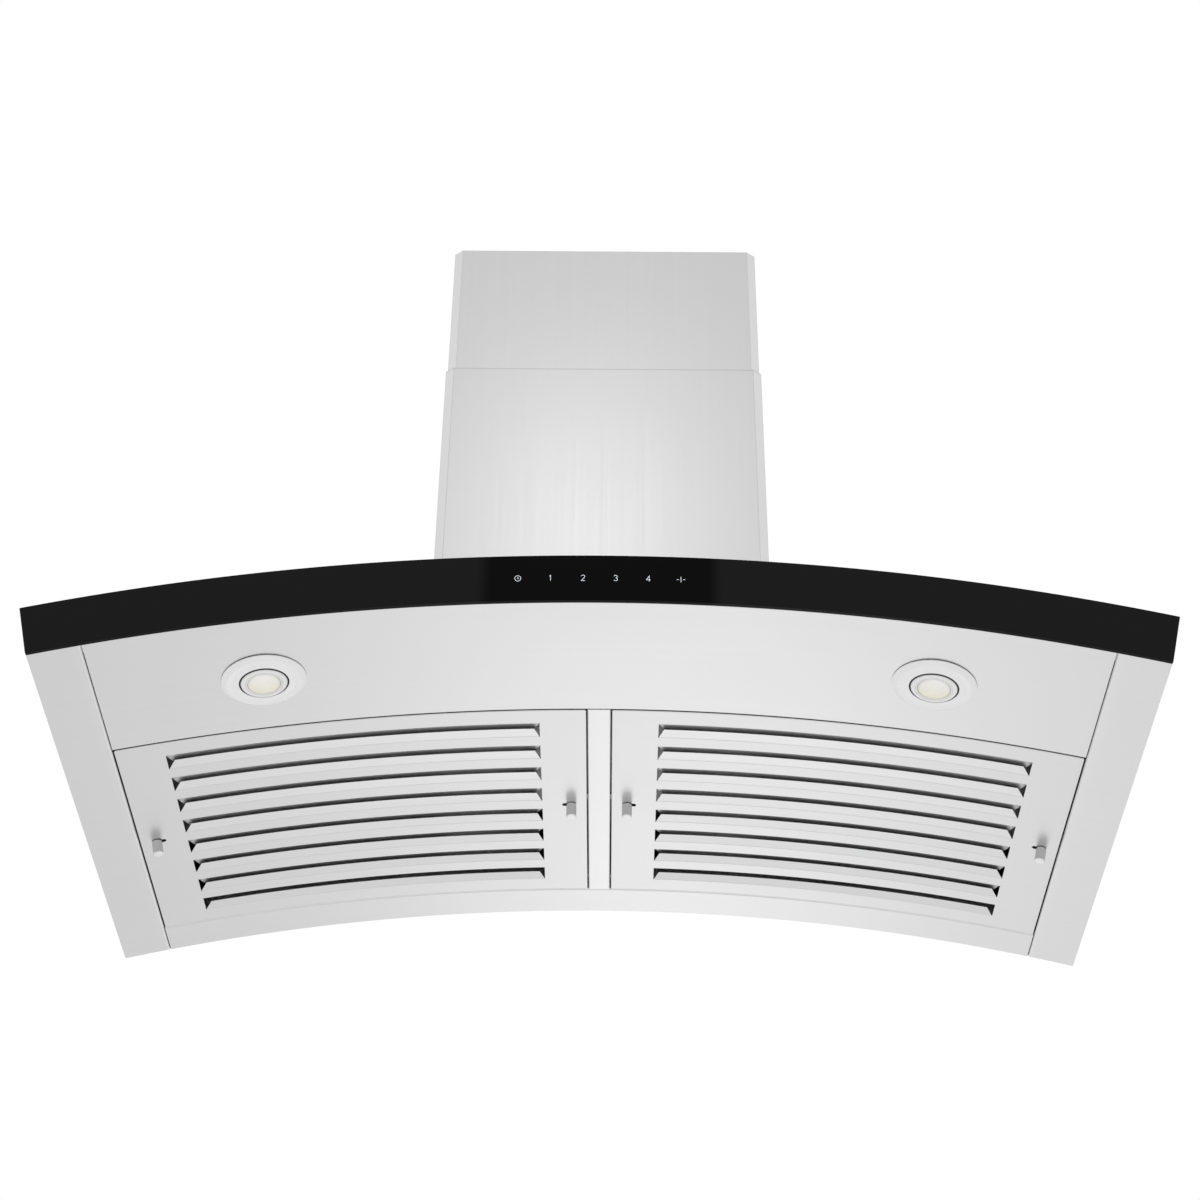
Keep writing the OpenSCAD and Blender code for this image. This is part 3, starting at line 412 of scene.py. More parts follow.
@dataclass(frozen=True)
class BallPaintGrooveShade(SatinPaint):
    """The trims' coating on a lamp's ball, with painted shade: its round side in the trim's mouth is
    painted black for the shade of the groove there.
    """

    centre_x: float = 0.0
    centre_y: float = 0.0
    # Distance in mm from the lamp's axis beyond which the painted groove shade begins.
    reach: float = 18.9

    def wear(self, graph: ShaderGraph) -> dict[int | str, Any]:
        """The coating, painted black as groove shade beyond its reach from the lamp's axis."""
        values = super().wear(graph)
        where = graph.place()
        across = graph.axis(where, "X") / MM - self.centre_x
        along = graph.axis(where, "Y") / MM - self.centre_y
        away = (across * across + along * along).root()
        # Painted shade: black beyond the reach, where the groove between ball and trim mouth lies in
        # shade.
        values["Base Color"] = graph.mix(
            away.step(self.reach - 0.15, self.reach + 0.15), values["Base Color"], tint(0.012)
        )
        return values


@dataclass(frozen=True)
class FrostedLens(Finish):
    """Creamy frosted lens, with painted shade as a dark olive rim and painted light making its front
    paler than its rear.
    """

    slot: str = "lens"
    tone: float = 0.8
    metallic: float = 0.0
    roughness: float = 0.25
    centre_x: float = 0.0
    centre_y: float = 0.0
    rim: float = 13.5

    def wear(self, graph: ShaderGraph) -> dict[int | str, Any]:
        """Painted shade lowers the tone to olive at the rim, more towards the rear, and painted light
        makes the front paler than the yellower rear, over a fine frosting.
        """
        where = graph.place()
        across = graph.axis(where, "X") / MM - self.centre_x
        along = graph.axis(where, "Y") / MM - self.centre_y
        reach = (across * across + along * along).root() / self.rim
        # Painted shade: the rim darkens to olive, more towards the rear.
        edge = reach.step(0.86, 1.0) * (0.4 + 0.4 * (along / self.rim))
        frost = graph.noise(where, 1500.0, 2.0)
        # Painted light: paler towards the front, yellower towards the rear.
        glow = graph.mix((along / self.rim).step(-0.8, 0.7), (0.95, 0.94, 0.9, 1),
                         (0.87, 0.84, 0.67, 1))
        return {
            "Base Color": graph.mix(edge, glow, (0.16, 0.155, 0.10, 1)),
            "Roughness": self.roughness + (frost - 0.5) * 0.1,
            "Normal": graph.bump(frost, 0.00002, 0.4),
        }


@dataclass(frozen=True)
class Print(Finish):
    """Lit key symbols: a bluish white that glows faintly."""

    slot: str = "light_guide"
    tone: float = 0.5
    metallic: float = 0.0
    roughness: float = 0.5
    glow: float = 0.8

    def wear(self, graph: ShaderGraph) -> dict[int | str, Any]:
        """A slight unevenness of the light along each stroke."""
        uneven = graph.noise(graph.place(), 220.0, 2.0)
        colour = graph.mix(uneven, (0.66, 0.72, 0.8, 1), (0.8, 0.86, 0.92, 1))
        return {"Base Color": colour, "Emission Color": colour, "Emission Strength": self.glow}


@dataclass(frozen=True)
class SolderMask(Finish):
    """Green board coating with pale traces."""

    slot: str = "board"
    metallic: float = 0.0
    roughness: float = 0.4

    def wear(self, graph: ShaderGraph) -> dict[int | str, Any]:
        """Wandering traces under the coating."""
        lines = graph.add(
            "ShaderNodeTexVoronoi",
            {"feature": "DISTANCE_TO_EDGE"},
            {"Vector": graph.place(), "Scale": 160.0},
            "Distance",
        )
        trace = lines.step(0.05, 0.09)
        return {
            "Base Color": graph.mix(trace, (0.10, 0.30, 0.14, 1), (0.02, 0.12, 0.05, 1)),
            "Roughness": self.roughness - trace * 0.08,
        }


@dataclass(frozen=True)
class Plastic(Finish):
    """Moulded plastic with a fine spark-eroded texture."""

    metallic: float = 0.0
    roughness: float = 0.5

    def wear(self, graph: ShaderGraph) -> dict[int | str, Any]:
        """A fine pebble texture."""
        pebble = graph.noise(graph.place(), 1400.0, 2.0)
        cloud = graph.noise(graph.place(), 30.0, 3.0)
        return {
            "Base Color": graph.mix(cloud, tint(self.tone * 0.92), tint(self.tone * 1.1)),
            "Roughness": self.roughness + (pebble - 0.5) * 0.15,
            "Normal": graph.bump(pebble, 0.00003, 0.5),
        }


SHELL = BrushedSteel("shell_steel", tone=0.62)
COVER = CoverSteel("chimney_steel")
STRIP = BrushedSteel("strip_steel", tone=0.65)
PAN = BrushedSteel("filter_steel", slot="steel_filter", tone=0.62, roughness=0.32)
BAFFLE = BrushedSteel("baffle_steel", slot="steel_inner", tone=0.6, roughness=0.4)
INNER = BrushedSteel("inner_steel", slot="steel_inner", tone=0.5, roughness=0.4)
KNOB = BrushedSteel("knob_steel", slot="knob_steel", tone=0.82, roughness=0.3,
                    grain=Grain.UPRIGHT, streak=0.2)
ZINC = Zinc("zinc_sheet")
GLASS = BlackGlass("black_glass")
TRIM = SatinPaint("trim_paint")
ALLOY = Finish("cast_alloy", "alloy", 0.5, 1.0, 0.5)
WIRE = Finish("spring_wire", "spring_steel", 0.42, 1.0, 0.32)
SCREW = Finish("screw_metal", "screw_steel", 0.5, 1.0, 0.33)
BOARD = SolderMask("solder_mask")
BOX = Plastic("box_plastic", "box_plastic", 0.55)
BLACK = Plastic("black_plastic", "black_plastic", 0.012)
MOTOR = Finish("motor_enamel", "motor_black", 0.02, 0.0, 0.42, coat=0.2)
GUIDE = Plastic("guide_plastic", "light_guide", 0.75, roughness=0.3)
PRINT = Print("key_print")

CAD_FINISH: dict[str, Finish] = {
    "light_guides": GUIDE, "touch_board": BOARD, "front_carrier": ZINC, "canopy_back": SHELL,
    "wall_plate": ZINC, "lamp_clips": WIRE, "lamp_module_left": ALLOY,
    "lamp_module_right": ALLOY, "filter_posts_left": SCREW, "filter_posts_right": SCREW,
    "latch_guides_left": BLACK, "latch_guides_right": BLACK, "latch_bolt_left_outer": KNOB,
    "latch_bolt_left_inner": KNOB, "latch_bolt_right_inner": KNOB,
    "latch_bolt_right_outer": KNOB, "control_box": BOX, "power_board": BOARD,
    "cable_gland": BLACK, "blower_housing": ZINC, "inlet_rings": ZINC, "motor_bracket": MOTOR,
    "blower_motor": MOTOR, "motor_shaft": SCREW, "duct_collar": ZINC, "damper_front": ZINC,
    "damper_rear": ZINC, "chimney_bracket": ZINC,
}


# Shapes


def fillet(
    path: Sequence[Flat], radius: float | Sequence[float], steps: int = 5, closed: bool = False
) -> list[Flat]:
    """Rounds the corners of a path.

    Args:
        path: Corner points.
        radius: One radius for all corners, or one for each point.
        steps: Segments of each rounded corner.
        closed: Whether the last point joins the first.

    Returns:
        The rounded path.
    """
    rounded: list[Flat] = []
    for i, corner in enumerate(path):
        size = radius if isinstance(radius, (int, float)) else radius[i]
        here = Vector(corner)
        before = Vector(path[i - 1]) - here
        after = Vector(path[(i + 1) % len(path)]) - here
        end = not closed and i in (0, len(path) - 1)
        turn = 0.0 if end else pi - before.angle(after)
        if turn < 1e-3 or size <= 0:
            rounded.append((here.x, here.y))
            continue
        reach = min(size * tan(turn / 2), 0.49 * before.length, 0.49 * after.length)
        size = reach / tan(turn / 2)
        before.normalize()
        after.normalize()
        centre = here + (before + after).normalized() * size / cos(turn / 2)
        start, stop = here + before * reach - centre, here + after * reach - centre
        for k in range(steps + 1):
            share = k / steps
            arm = (start * sin((1 - share) * turn) + stop * sin(share * turn)) / sin(turn)
            rounded.append((centre.x + arm.x, centre.y + arm.y))
    return rounded


def sheet(path: Sequence[Flat], thickness: float) -> list[Flat]:
    """Outline of a bent sheet.

    Args:
        path: The sheet's middle line, already rounded.
        thickness: The sheet's thickness.

    Returns:
        A closed outline.
    """
    near: list[Flat] = []
    far: list[Flat] = []
    for i, point in enumerate(path):
        here = Vector(point)
        ways = []
        if i > 0:
            ways.append((here - Vector(path[i - 1])).normalized())
        if i < len(path) - 1:
            ways.append((Vector(path[i + 1]) - here).normalized())
        side = sum((Vector((-w.y, w.x)) for w in ways), Vector((0, 0))).normalized()
        lift = side * thickness / 2 / max(0.3, side.dot(Vector((-ways[0].y, ways[0].x))))
        near.append((here.x + lift.x, here.y + lift.y))
        far.append((here.x - lift.x, here.y - lift.y))
    return near + far[::-1]


def circle(radius: float, count: int) -> list[Flat]:
    """Points round the origin."""
    return [(radius * cos(2 * pi * i / count), radius * sin(2 * pi * i / count))
            for i in range(count)]


def drop_object(thing: bpy.types.Object) -> None:
    """Deletes a helper object and its mesh."""
    mesh = thing.data
    bpy.data.objects.remove(thing)
    if mesh and mesh.users == 0:
        bpy.data.meshes.remove(mesh)


def settle(thing: bpy.types.Object) -> bpy.types.Object:
    """Turns an object with live modifiers into a plain mesh.

    Args:
        thing: The object.

    Returns:
        The same object with the result as its mesh and no modifiers.
    """
    graph = bpy.context.evaluated_depsgraph_get()
    graph.update()
    mesh = bpy.data.meshes.new_from_object(
        thing.evaluated_get(graph), preserve_all_data_layers=True, depsgraph=graph
    )
    old = thing.data
    thing.modifiers.clear()
    thing.data = mesh
    if old.users == 0:
        bpy.data.meshes.remove(old)
    mesh.name = thing.name
    return thing


class Shell:
    """Points and faces of a piece in the making, in millimetres."""

    def __init__(self) -> None:
        """Starts with nothing."""
        self.points: list[Solid] = []
        self.faces: list[tuple[int, ...]] = []

    def loft(
        self, rings: Sequence[Sequence[Solid]], capped: bool = True, looped: bool = False
    ) -> "Shell":
        """Joins closed rings of points.

        Args:
            rings: The rings, each with the same number of points.
            capped: Whether the first and last ring are closed by a face.
            looped: Whether the last ring joins the first.

        Returns:
            The shell itself.
        """
        base, size = len(self.points), len(rings[0])
        for ring in rings:
            self.points.extend(tuple(p) for p in ring)
        for i in range(len(rings) if looped else len(rings) - 1):
            a, b = base + i * size, base + (i + 1) % len(rings) * size
            for j in range(size):
                k = (j + 1) % size
                self.faces.append((a + j, a + k, b + k, b + j))
        if capped and not looped:
            last = base + (len(rings) - 1) * size
            self.faces.append(tuple(base + j for j in reversed(range(size))))
            self.faces.append(tuple(last + j for j in range(size)))
        return self

    def patch(self, rows: Sequence[Sequence[Solid]], down: bool = False) -> "Shell":
        """Adds an open grid of points; its faces look up, or down."""
        base, size = len(self.points), len(rows[0])
        for row in rows:
            self.points.extend(tuple(p) for p in row)
        for i in range(len(rows) - 1):
            for j in range(size - 1):
                a = base + i * size + j
                quad = (a, a + 1, a + size + 1, a + size)
                self.faces.append(quad[::-1] if down else quad)
        return self

    def lathe(
        self,
        profile: Sequence[Flat],
        count: int,
        shape: Callable[[float, float, float], Solid] | None = None,
    ) -> "Shell":
        """Turns a profile of (radius, height) about the upright axis.

        Args:
            profile: A closed outline, or a path that starts and ends on the axis.
            count: Segments round the axis.
            shape: Gives the point for an angle, a radius and a height; a plain turning if None.

        Returns:
            The shell itself.
        """
        shape = shape or (lambda a, r, z: (r * cos(a), r * sin(a), z))
        rings = [[shape(2 * pi * i / count, r, z) for r, z in profile] for i in range(count)]
        return self.loft(rings, capped=False, looped=True)

    def move(self, matrix: Matrix) -> "Shell":
        """Moves every point by a matrix whose lengths are in millimetres."""
        self.points = [tuple(matrix @ Vector(p)) for p in self.points]
        return self

    def object(self, name: str, solid: bool = True) -> bpy.types.Object:
        """Makes the Blender object.

        Args:
            name: The object's name.
            solid: Whether the shell is closed, so that its faces are turned outwards.

        Returns:
            The object, at the origin, in metres.
        """
        mesh = bpy.data.meshes.new(name)
        mesh.from_pydata([tuple(c * MM for c in p) for p in self.points], [], self.faces)
        work = bmesh.new()
        work.from_mesh(mesh)
        bmesh.ops.remove_doubles(work, verts=work.verts, dist=2e-6)
        bmesh.ops.dissolve_degenerate(work, edges=work.edges, dist=1e-7)
        if solid:
            bmesh.ops.recalc_face_normals(work, faces=work.faces)
        work.to_mesh(mesh)
        work.free()
        thing = bpy.data.objects.new(name, mesh)
        bpy.context.scene.collection.objects.link(thing)
        return thing


def cut(thing: bpy.types.Object, tools: Iterable[Shell]) -> bpy.types.Object:
    """Cuts closed shells out of an object.

    Args:
        thing: The object.
        tools: The shells to cut with.

    Returns:
        The same object, cut.
    """
    for tool in tools:
        cutter = tool.object("cutter")
        change = thing.modifiers.new("cut", "BOOLEAN")
        change.operation = "DIFFERENCE"
        change.solver = "EXACT"
        change.object = cutter
        settle(thing)
        drop_object(cutter)
    return thing


def dress(
    thing: bpy.types.Object,
    finish: Finish,
    body: str = "root",
    stands_for: Sequence[str] = (),
    angle: float = 32.0,
) -> bpy.types.Object:
    """Shades a finished piece, gives it its finish and ties it to the frame.

    Args:
        thing: The piece.
        finish: Its finish.
        body: The body that it rides on.
        stands_for: The CAD nodes that it replaces.
        angle: Edges sharper than this stay sharp, in degrees.

    Returns:
        The piece.
    """
    mesh = thing.data
    mesh.materials.clear()
    mesh.materials.append(finish.material())
    mesh.shade_smooth()
    mesh.set_sharp_from_angle(angle=radians(angle))
    even = thing.modifiers.new("even", "WEIGHTED_NORMAL")
    even.keep_sharp = True
    settle(thing)
    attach(thing, body)
    if stands_for:
        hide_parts(*stands_for)
    log.info("%s: %d faces, on %s", thing.name, len(thing.data.polygons), body)
    return thing


# The arch


@dataclass(frozen=True)
class Arch:
    """The arched underside: a cylinder along Y whose axis lies far below."""

    radius: float = 1842.0
    axis_z: float = -1992.0
    half_angle: float = asin(450.0 / 1842.0)

    def angle(self, x: float, rise: float = 0.0) -> float:
        """Angle from upright of the point over x."""
        return asin(x / (self.radius + rise))

    def point(self, x: float, y: float, rise: float) -> Solid:
        """The point over x that lies a height above the underside."""
        return (x, y, self.axis_z + sqrt((self.radius + rise) ** 2 - x * x))

    def polar(self, angle: float, y: float, rise: float) -> Solid:
        """The point at an angle, a height square above the underside."""
        reach = self.radius + rise
        return (reach * sin(angle), y, self.axis_z + reach * cos(angle))

    def place(self, x: float, y: float, rise: float = 0.0) -> Matrix:
        """Frame that stands square on the arch over x.

        Args:
            x: Where its foot is, left to right.
            y: Where its foot is, front to back.
            rise: Height of its foot above the underside.

        Returns:
            The matrix from the frame to the hood, in millimetres.
        """
        turn = asin(x / (self.radius + rise))
        return Matrix.Translation(self.polar(turn, y, rise)) @ Matrix.Rotation(turn, 4, "Y")

    def sweep(
        self, outline: Sequence[Flat], x0: float, x1: float, steps: int = 90
    ) -> list[list[Solid]]:
        """Carries an outline of (rise, y) along the arch, between two upright ends.

        Args:
            outline: The closed outline.
            x0: Left end.
            x1: Right end.
            steps: Number of steps.

        Returns:
            The rings of points.
        """
        rings = []
        for i in range(steps + 1):
            share = i / steps
            rings.append([
                self.polar(
                    self.angle(x0, rise) * (1 - share) + self.angle(x1, rise) * share, y, rise
                )
                for rise, y in outline
            ])
        return rings


ARCH = Arch()


# Geometry nodes


class GeometryGraph(Graph):
    """A geometry tree with named inputs, applied to a mesh once."""

    def __init__(self, name: str) -> None:
        """Starts a tree with a geometry input and output."""
        super().__init__(bpy.data.node_groups.new(name, "GeometryNodeTree"))
        face = self.tree.interface
        face.new_socket("Geometry", in_out="INPUT", socket_type="NodeSocketGeometry")
        face.new_socket("Geometry", in_out="OUTPUT", socket_type="NodeSocketGeometry")
        self.given = self.tree.nodes.new("NodeGroupInput")
        self.values: dict[str, Any] = {}

    def input(self, name: str, kind: str, value: Any) -> Socket:
        """Adds a named input and keeps the value that it gets.

        Args:
            name: The input's name.
            kind: The socket's kind, such as Float, Int or Object.
            value: The value for the modifier.

        Returns:
            The input as a socket.
        """
        made = self.tree.interface.new_socket(
            name, in_out="INPUT", socket_type="NodeSocket" + kind
        )
        self.values[made.identifier] = value
        return Socket(self, self.given.outputs[name])

    def geometry(self) -> Socket:
        """The mesh that the tree is applied to."""
        return Socket(self, self.given.outputs[0])

    def map_points(self, shape: Socket, change: Callable[..., tuple[Any, Any, Any]]) -> Socket:
        """Moves every point by a rule.

        Args:
            shape: The geometry.
            change: Gives new x, y and z for old x, y and z, as sockets.

        Returns:
            The moved geometry.
        """
        here = self.add("GeometryNodeInputPosition")
        x, y, z = (self.add("ShaderNodeSeparateXYZ", inputs={0: here}, output=i) for i in range(3))
        new = self.add("ShaderNodeCombineXYZ", inputs=dict(enumerate(change(x, y, z))))
        return self.add("GeometryNodeSetPosition", inputs={"Geometry": shape, "Position": new})

    def apply(
        self, name: str, base: bpy.types.Object | None, result: Socket, finish: Finish
    ) -> bpy.types.Object:
        """Ends the tree and turns its result into a plain object.

        Args:
            name: Name of the object.
            base: The object whose mesh goes in; an empty mesh if None.
            result: The geometry that comes out.
            finish: The finish that the tree sets.

        Returns:
            The object, with no modifier left.
        """
        real = self.add("GeometryNodeRealizeInstances", inputs={0: result})
        done = self.add(
            "GeometryNodeSetMaterial", inputs={"Geometry": real, "Material": finish.material()}
        )
        self.add("NodeGroupOutput", inputs={0: done})
        thing = base or Shell().object(name, solid=False)
        thing.name = name
        change = thing.modifiers.new("nodes", "NODES")
        change.node_group = self.tree
        for identifier, value in self.values.items():
            change[identifier] = value
        return settle(thing)


# Canopy


@dataclass
class Canopy:
    """The arched shell: glass band, top sheet and the fixed panels of the underside."""

    depth: float = 500.0
    height: float = 45.0
    sheet_t: float = 1.0
    glass_t: float = 4.0
    side_x: float = 408.0
    open_y0: float = -344.0
    open_y1: float = -41.0
    seam: float = 0.5
    ledge: float = 8.3
    lip_z: float = 14.3
    lip_d: float = 7.0
    strip_w: float = 20.0
    bend: float = 1.6

    def band(self) -> bpy.types.Object:
        """The glass band, with ground edges.

        Returns:
            The finished piece.
        """
        front, back = -self.depth, -self.depth + self.glass_t
        corners = [(0, front), (0, back), (self.height, back), (self.height, front)]
        outline = fillet(corners, [0.7, 0.25, 0.25, 0.7], 4, closed=True)
        middle = (self.height / 2, (front + back) / 2)
        rings = []
        end = ARCH.half_angle
        arcs = [end * (i / 48 - 1) for i in range(97)]
        for angle in arcs:
            rings.append([ARCH.polar(angle, y, rise) for rise, y in outline])
        for first, ring_angle in ((True, -end), (False, end)):
            inset = []
            for rise, y in outline:
                slip = 0.35
                inset.append(ARCH.polar(
                    ring_angle,
                    y + slip * (1 if y < middle[1] else -1),
                    rise + slip * (1 if rise < middle[0] else -1),
                ))
            short = [ARCH.polar(ring_angle * (1 - 0.35 / 450), y, rise) for rise, y in outline]
            if first:
                rings[0] = short
                rings.insert(0, inset)
            else:
                rings[-1] = short
                rings.append(inset)
        return dress(Shell().loft(rings).object("front_band"), GLASS, "root", ["glass_front"])

    def top(self) -> bpy.types.Object:
        """The top sheet and its two end walls, bent from one blank.

        Returns:
            The finished piece.
        """
        t, high = self.sheet_t, self.height
        reach = self.radius_path()
        outline = sheet(reach, t)
        rings = [[(x, y, z) for x, z in outline] for y in (-self.depth + self.glass_t, 0.0)]
        thing = Shell().loft(rings).object("top_sheet")
        holes = []
        for side in (-1, 1):
            x0, x1 = sorted((side * 86.0, side * 138.0))
            floor = -150.0
            holes.append(box_shell((x0, -240.0, floor), (x1, -46.0, floor + high + 30)))
        return dress(cut(thing, holes), SHELL, "root", ["canopy_top"])

    def radius_path(self) -> list[Flat]:
        """Middle line of the top sheet, seen from the front, with its two bends.

        Returns:
            Points of (x, z).
        """
        t, high, end = self.sheet_t, self.height, ARCH.half_angle
        wall = t / 2 / ARCH.radius
        side = end - wall
        arc = [side * (i / 60 - 1) for i in range(121)]
        crown = [ARCH.polar(a, 0, high - t / 2) for a in arc]
        foot0, foot1 = ARCH.polar(-side, 0, t), ARCH.polar(side, 0, t)
        points = [(p[0], p[2]) for p in [foot0, *crown, foot1]]
        radii = [0.0] * len(points)
        radii[1] = radii[-2] = 2.0
        return fillet(points, radii, 5)

    def side_panel(self, side: int) -> bpy.types.Object:
        """A plain end panel whose inner edge turns up as the latch ledge.

        Args:
            side: -1 for the left panel, 1 for the right one.

        Returns:
            The finished piece.
        """
        t = self.sheet_t
        edge = self.side_x + t / 2
        path = [(edge, self.ledge), (edge, t / 2), (449.6, t / 2)]
        rounded = fillet(path, self.bend, 5)
        first, rest = rounded[:-1], rounded[-1]
        extra = [(rest[0] * s + first[-1][0] * (1 - s), t / 2) for s in (0.2, 0.4, 0.6, 0.8)]
        outline = sheet(first + extra + [rest], t)
        front, back = -self.depth + self.glass_t, 0.0
        rings = []
        for y, low in ((front, True), (-484.5, True), (-484.5, False), (-1.3, False),
                       (-1.3, True), (back, True)):
            rings.append([
                ARCH.point(side * x, y, min(rise, t) if low else rise) for x, rise in outline
            ])
        thing = Shell().loft(rings).object(f"end_panel_{'left' if side < 0 else 'right'}")
        return dress(thing, SHELL, "root", [f"side_panel_{'left' if side < 0 else 'right'}"])

    def lipped(self, name: str, far: float, edge: float, out: int) -> bpy.types.Object:
        """A panel whose edge at the filters turns up, and then over them.

        Args:
            name: Name of the piece.
            far: Where its other edge is, front to back.
            edge: Where its edge at the filters is.
            out: Direction of the lip along Y.

        Returns:
            The raw piece.
        """
        half = self.sheet_t / 2
        wall = edge - out * half
        path = [(half, far), (half, wall), (self.lip_z + half, wall),
                (self.lip_z + half, edge + out * self.lip_d)]
        outline = sheet(fillet(path, self.bend, 5), self.sheet_t)
        side = self.side_x - self.seam
        return Shell().loft(ARCH.sweep(outline, -side, side)).object(name)

    def strip(self) -> bpy.types.Object:
        """The channel between the two filters.

        Returns:
            The finished piece.
        """
        half = self.sheet_t / 2
        x = self.strip_w / 2 - half
        path = fillet([(-x, self.ledge), (-x, half), (x, half), (x, self.ledge)], 0.7, 5)
        outline = sheet(path, self.sheet_t)
        rings = [[ARCH.point(a, y, rise) for a, rise in outline]
                 for y in (self.open_y0, self.open_y1)]
        return dress(Shell().loft(rings).object("middle_strip"), STRIP, "root", ["centre_strip"])

    def build(self) -> None:
        """Builds and dresses the whole canopy."""
        self.band()
        self.top()
        for side in (-1, 1):
            self.side_panel(side)
        lamp_panel = self.lipped("lamp_sheet", -self.depth + self.glass_t, self.open_y0, 1)
        holes = []
        for side in (-1, 1):
            rings = [[(x, y, z) for x, y in circle(28.1, 64)] for z in (-2.0, 3.0)]
            holes.append(Shell().loft(rings).move(ARCH.place(side * 275.0, -415.0)))
        dress(cut(lamp_panel, holes), SHELL, "root", ["lamp_panel"])
        dress(self.lipped("rear_sheet", 0.0, self.open_y1, -1), SHELL, "root", ["rear_rail"])
        self.strip()


def box_shell(low: Solid, high: Solid) -> Shell:
    """A plain box between two corners, to cut with."""
    rings = [
        [(low[0], low[1], z), (high[0], low[1], z), (high[0], high[1], z), (low[0], high[1], z)]
        for z in (low[2], high[2])
    ]
    return Shell().loft(rings)


# Touch keys


@dataclass
class Keys:
    """Thin lit symbols on the glass: a clock, four speeds and a lamp."""

    pitch: float = 26.2
    count: int = 6
    rise: float = 21.9
    tall: float = 5.6
    stroke: float = 0.28
    face_y: float = -500.0
    depth: float = 0.06
    shapes: list[list[list[Flat]]] = field(default_factory=list)

    def symbols(self) -> list[list[list[Flat]]]:
        """The strokes of every symbol, in units of half its height.

        Returns:
            For each symbol a list of open strokes.
        """
        ring = [(sin(2 * pi * i / 28), cos(2 * pi * i / 28)) for i in range(29)]
        clock = [[(0.86 * a, 0.98 * b) for a, b in ring], [(0, 0.5), (0, -0.1)], [(0, -0.1), (0.3, -0.1)]]
        one = [[(-0.28, 0.62), (0.05, 1.0), (0.05, -1.0)]]
        bow = [(0.5 * sin(t), 0.5 + 0.5 * cos(t)) for t in
               [radians(-70 + 200 * i / 10) for i in range(11)]]
        two = [[*bow, (-0.5, -1.0), (0.55, -1.0)]]
        upper = [(0.46 * sin(t), 0.52 + 0.48 * cos(t)) for t in
                 [radians(-70 + 250 * i / 10) for i in range(11)]]
        lower = [(0.52 * sin(t), -0.48 + 0.52 * cos(t)) for t in
                 [radians(0 + 250 * i / 10) for i in range(11)]]
        three = [[*upper, *lower]]
        four = [[(0.28, -1.0), (0.28, 1.0), (-0.55, -0.42), (0.62, -0.42)]]
        light = [[(0.0, 0.95), (0.0, -0.95)], [(-1.2, 0.0), (-0.6, 0.0)], [(0.6, 0.0), (1.2, 0.0)]]
        return [clock, one, two, three, four, light]

    def stroke_shell(self, shell: Shell, stroke: Sequence[Flat], x: float) -> None:
        """Adds one stroke as a thin raised ribbon on the glass.

        Args:
            shell: The shell that it goes to.
            stroke: Its points, in units of half the symbol's height.
            x: Middle of the symbol.
        """
        half = self.tall / 2
        path = [(p[0] * half, p[1] * half) for p in stroke]
        outline = sheet(path, self.stroke)
        height = ARCH.point(x, 0, self.rise)[2]
        rings = [[(x + a, y, height + b) for a, b in outline]
                 for y in (self.face_y - self.depth, self.face_y + 0.05)]
        count = len(outline)
        base = len(shell.points)
        shell.loft(rings, capped=False)
        for i in range(len(path) - 1):
            quad = (base + i, base + i + 1, base + count - 2 - i, base + count - 1 - i)
            shell.faces.append(quad)
            shell.faces.append(tuple(q + count for q in reversed(quad)))

    def build(self) -> None:
        """Builds all the symbols as one piece."""
        self.shapes = self.symbols()
        shell = Shell()
        for i, strokes in enumerate(self.shapes):
            x = (i - (self.count - 1) / 2) * self.pitch
            for stroke in strokes:
                self.stroke_shell(shell, stroke, x)
        dress(shell.object("key_symbols"), PRINT)


# Lamps


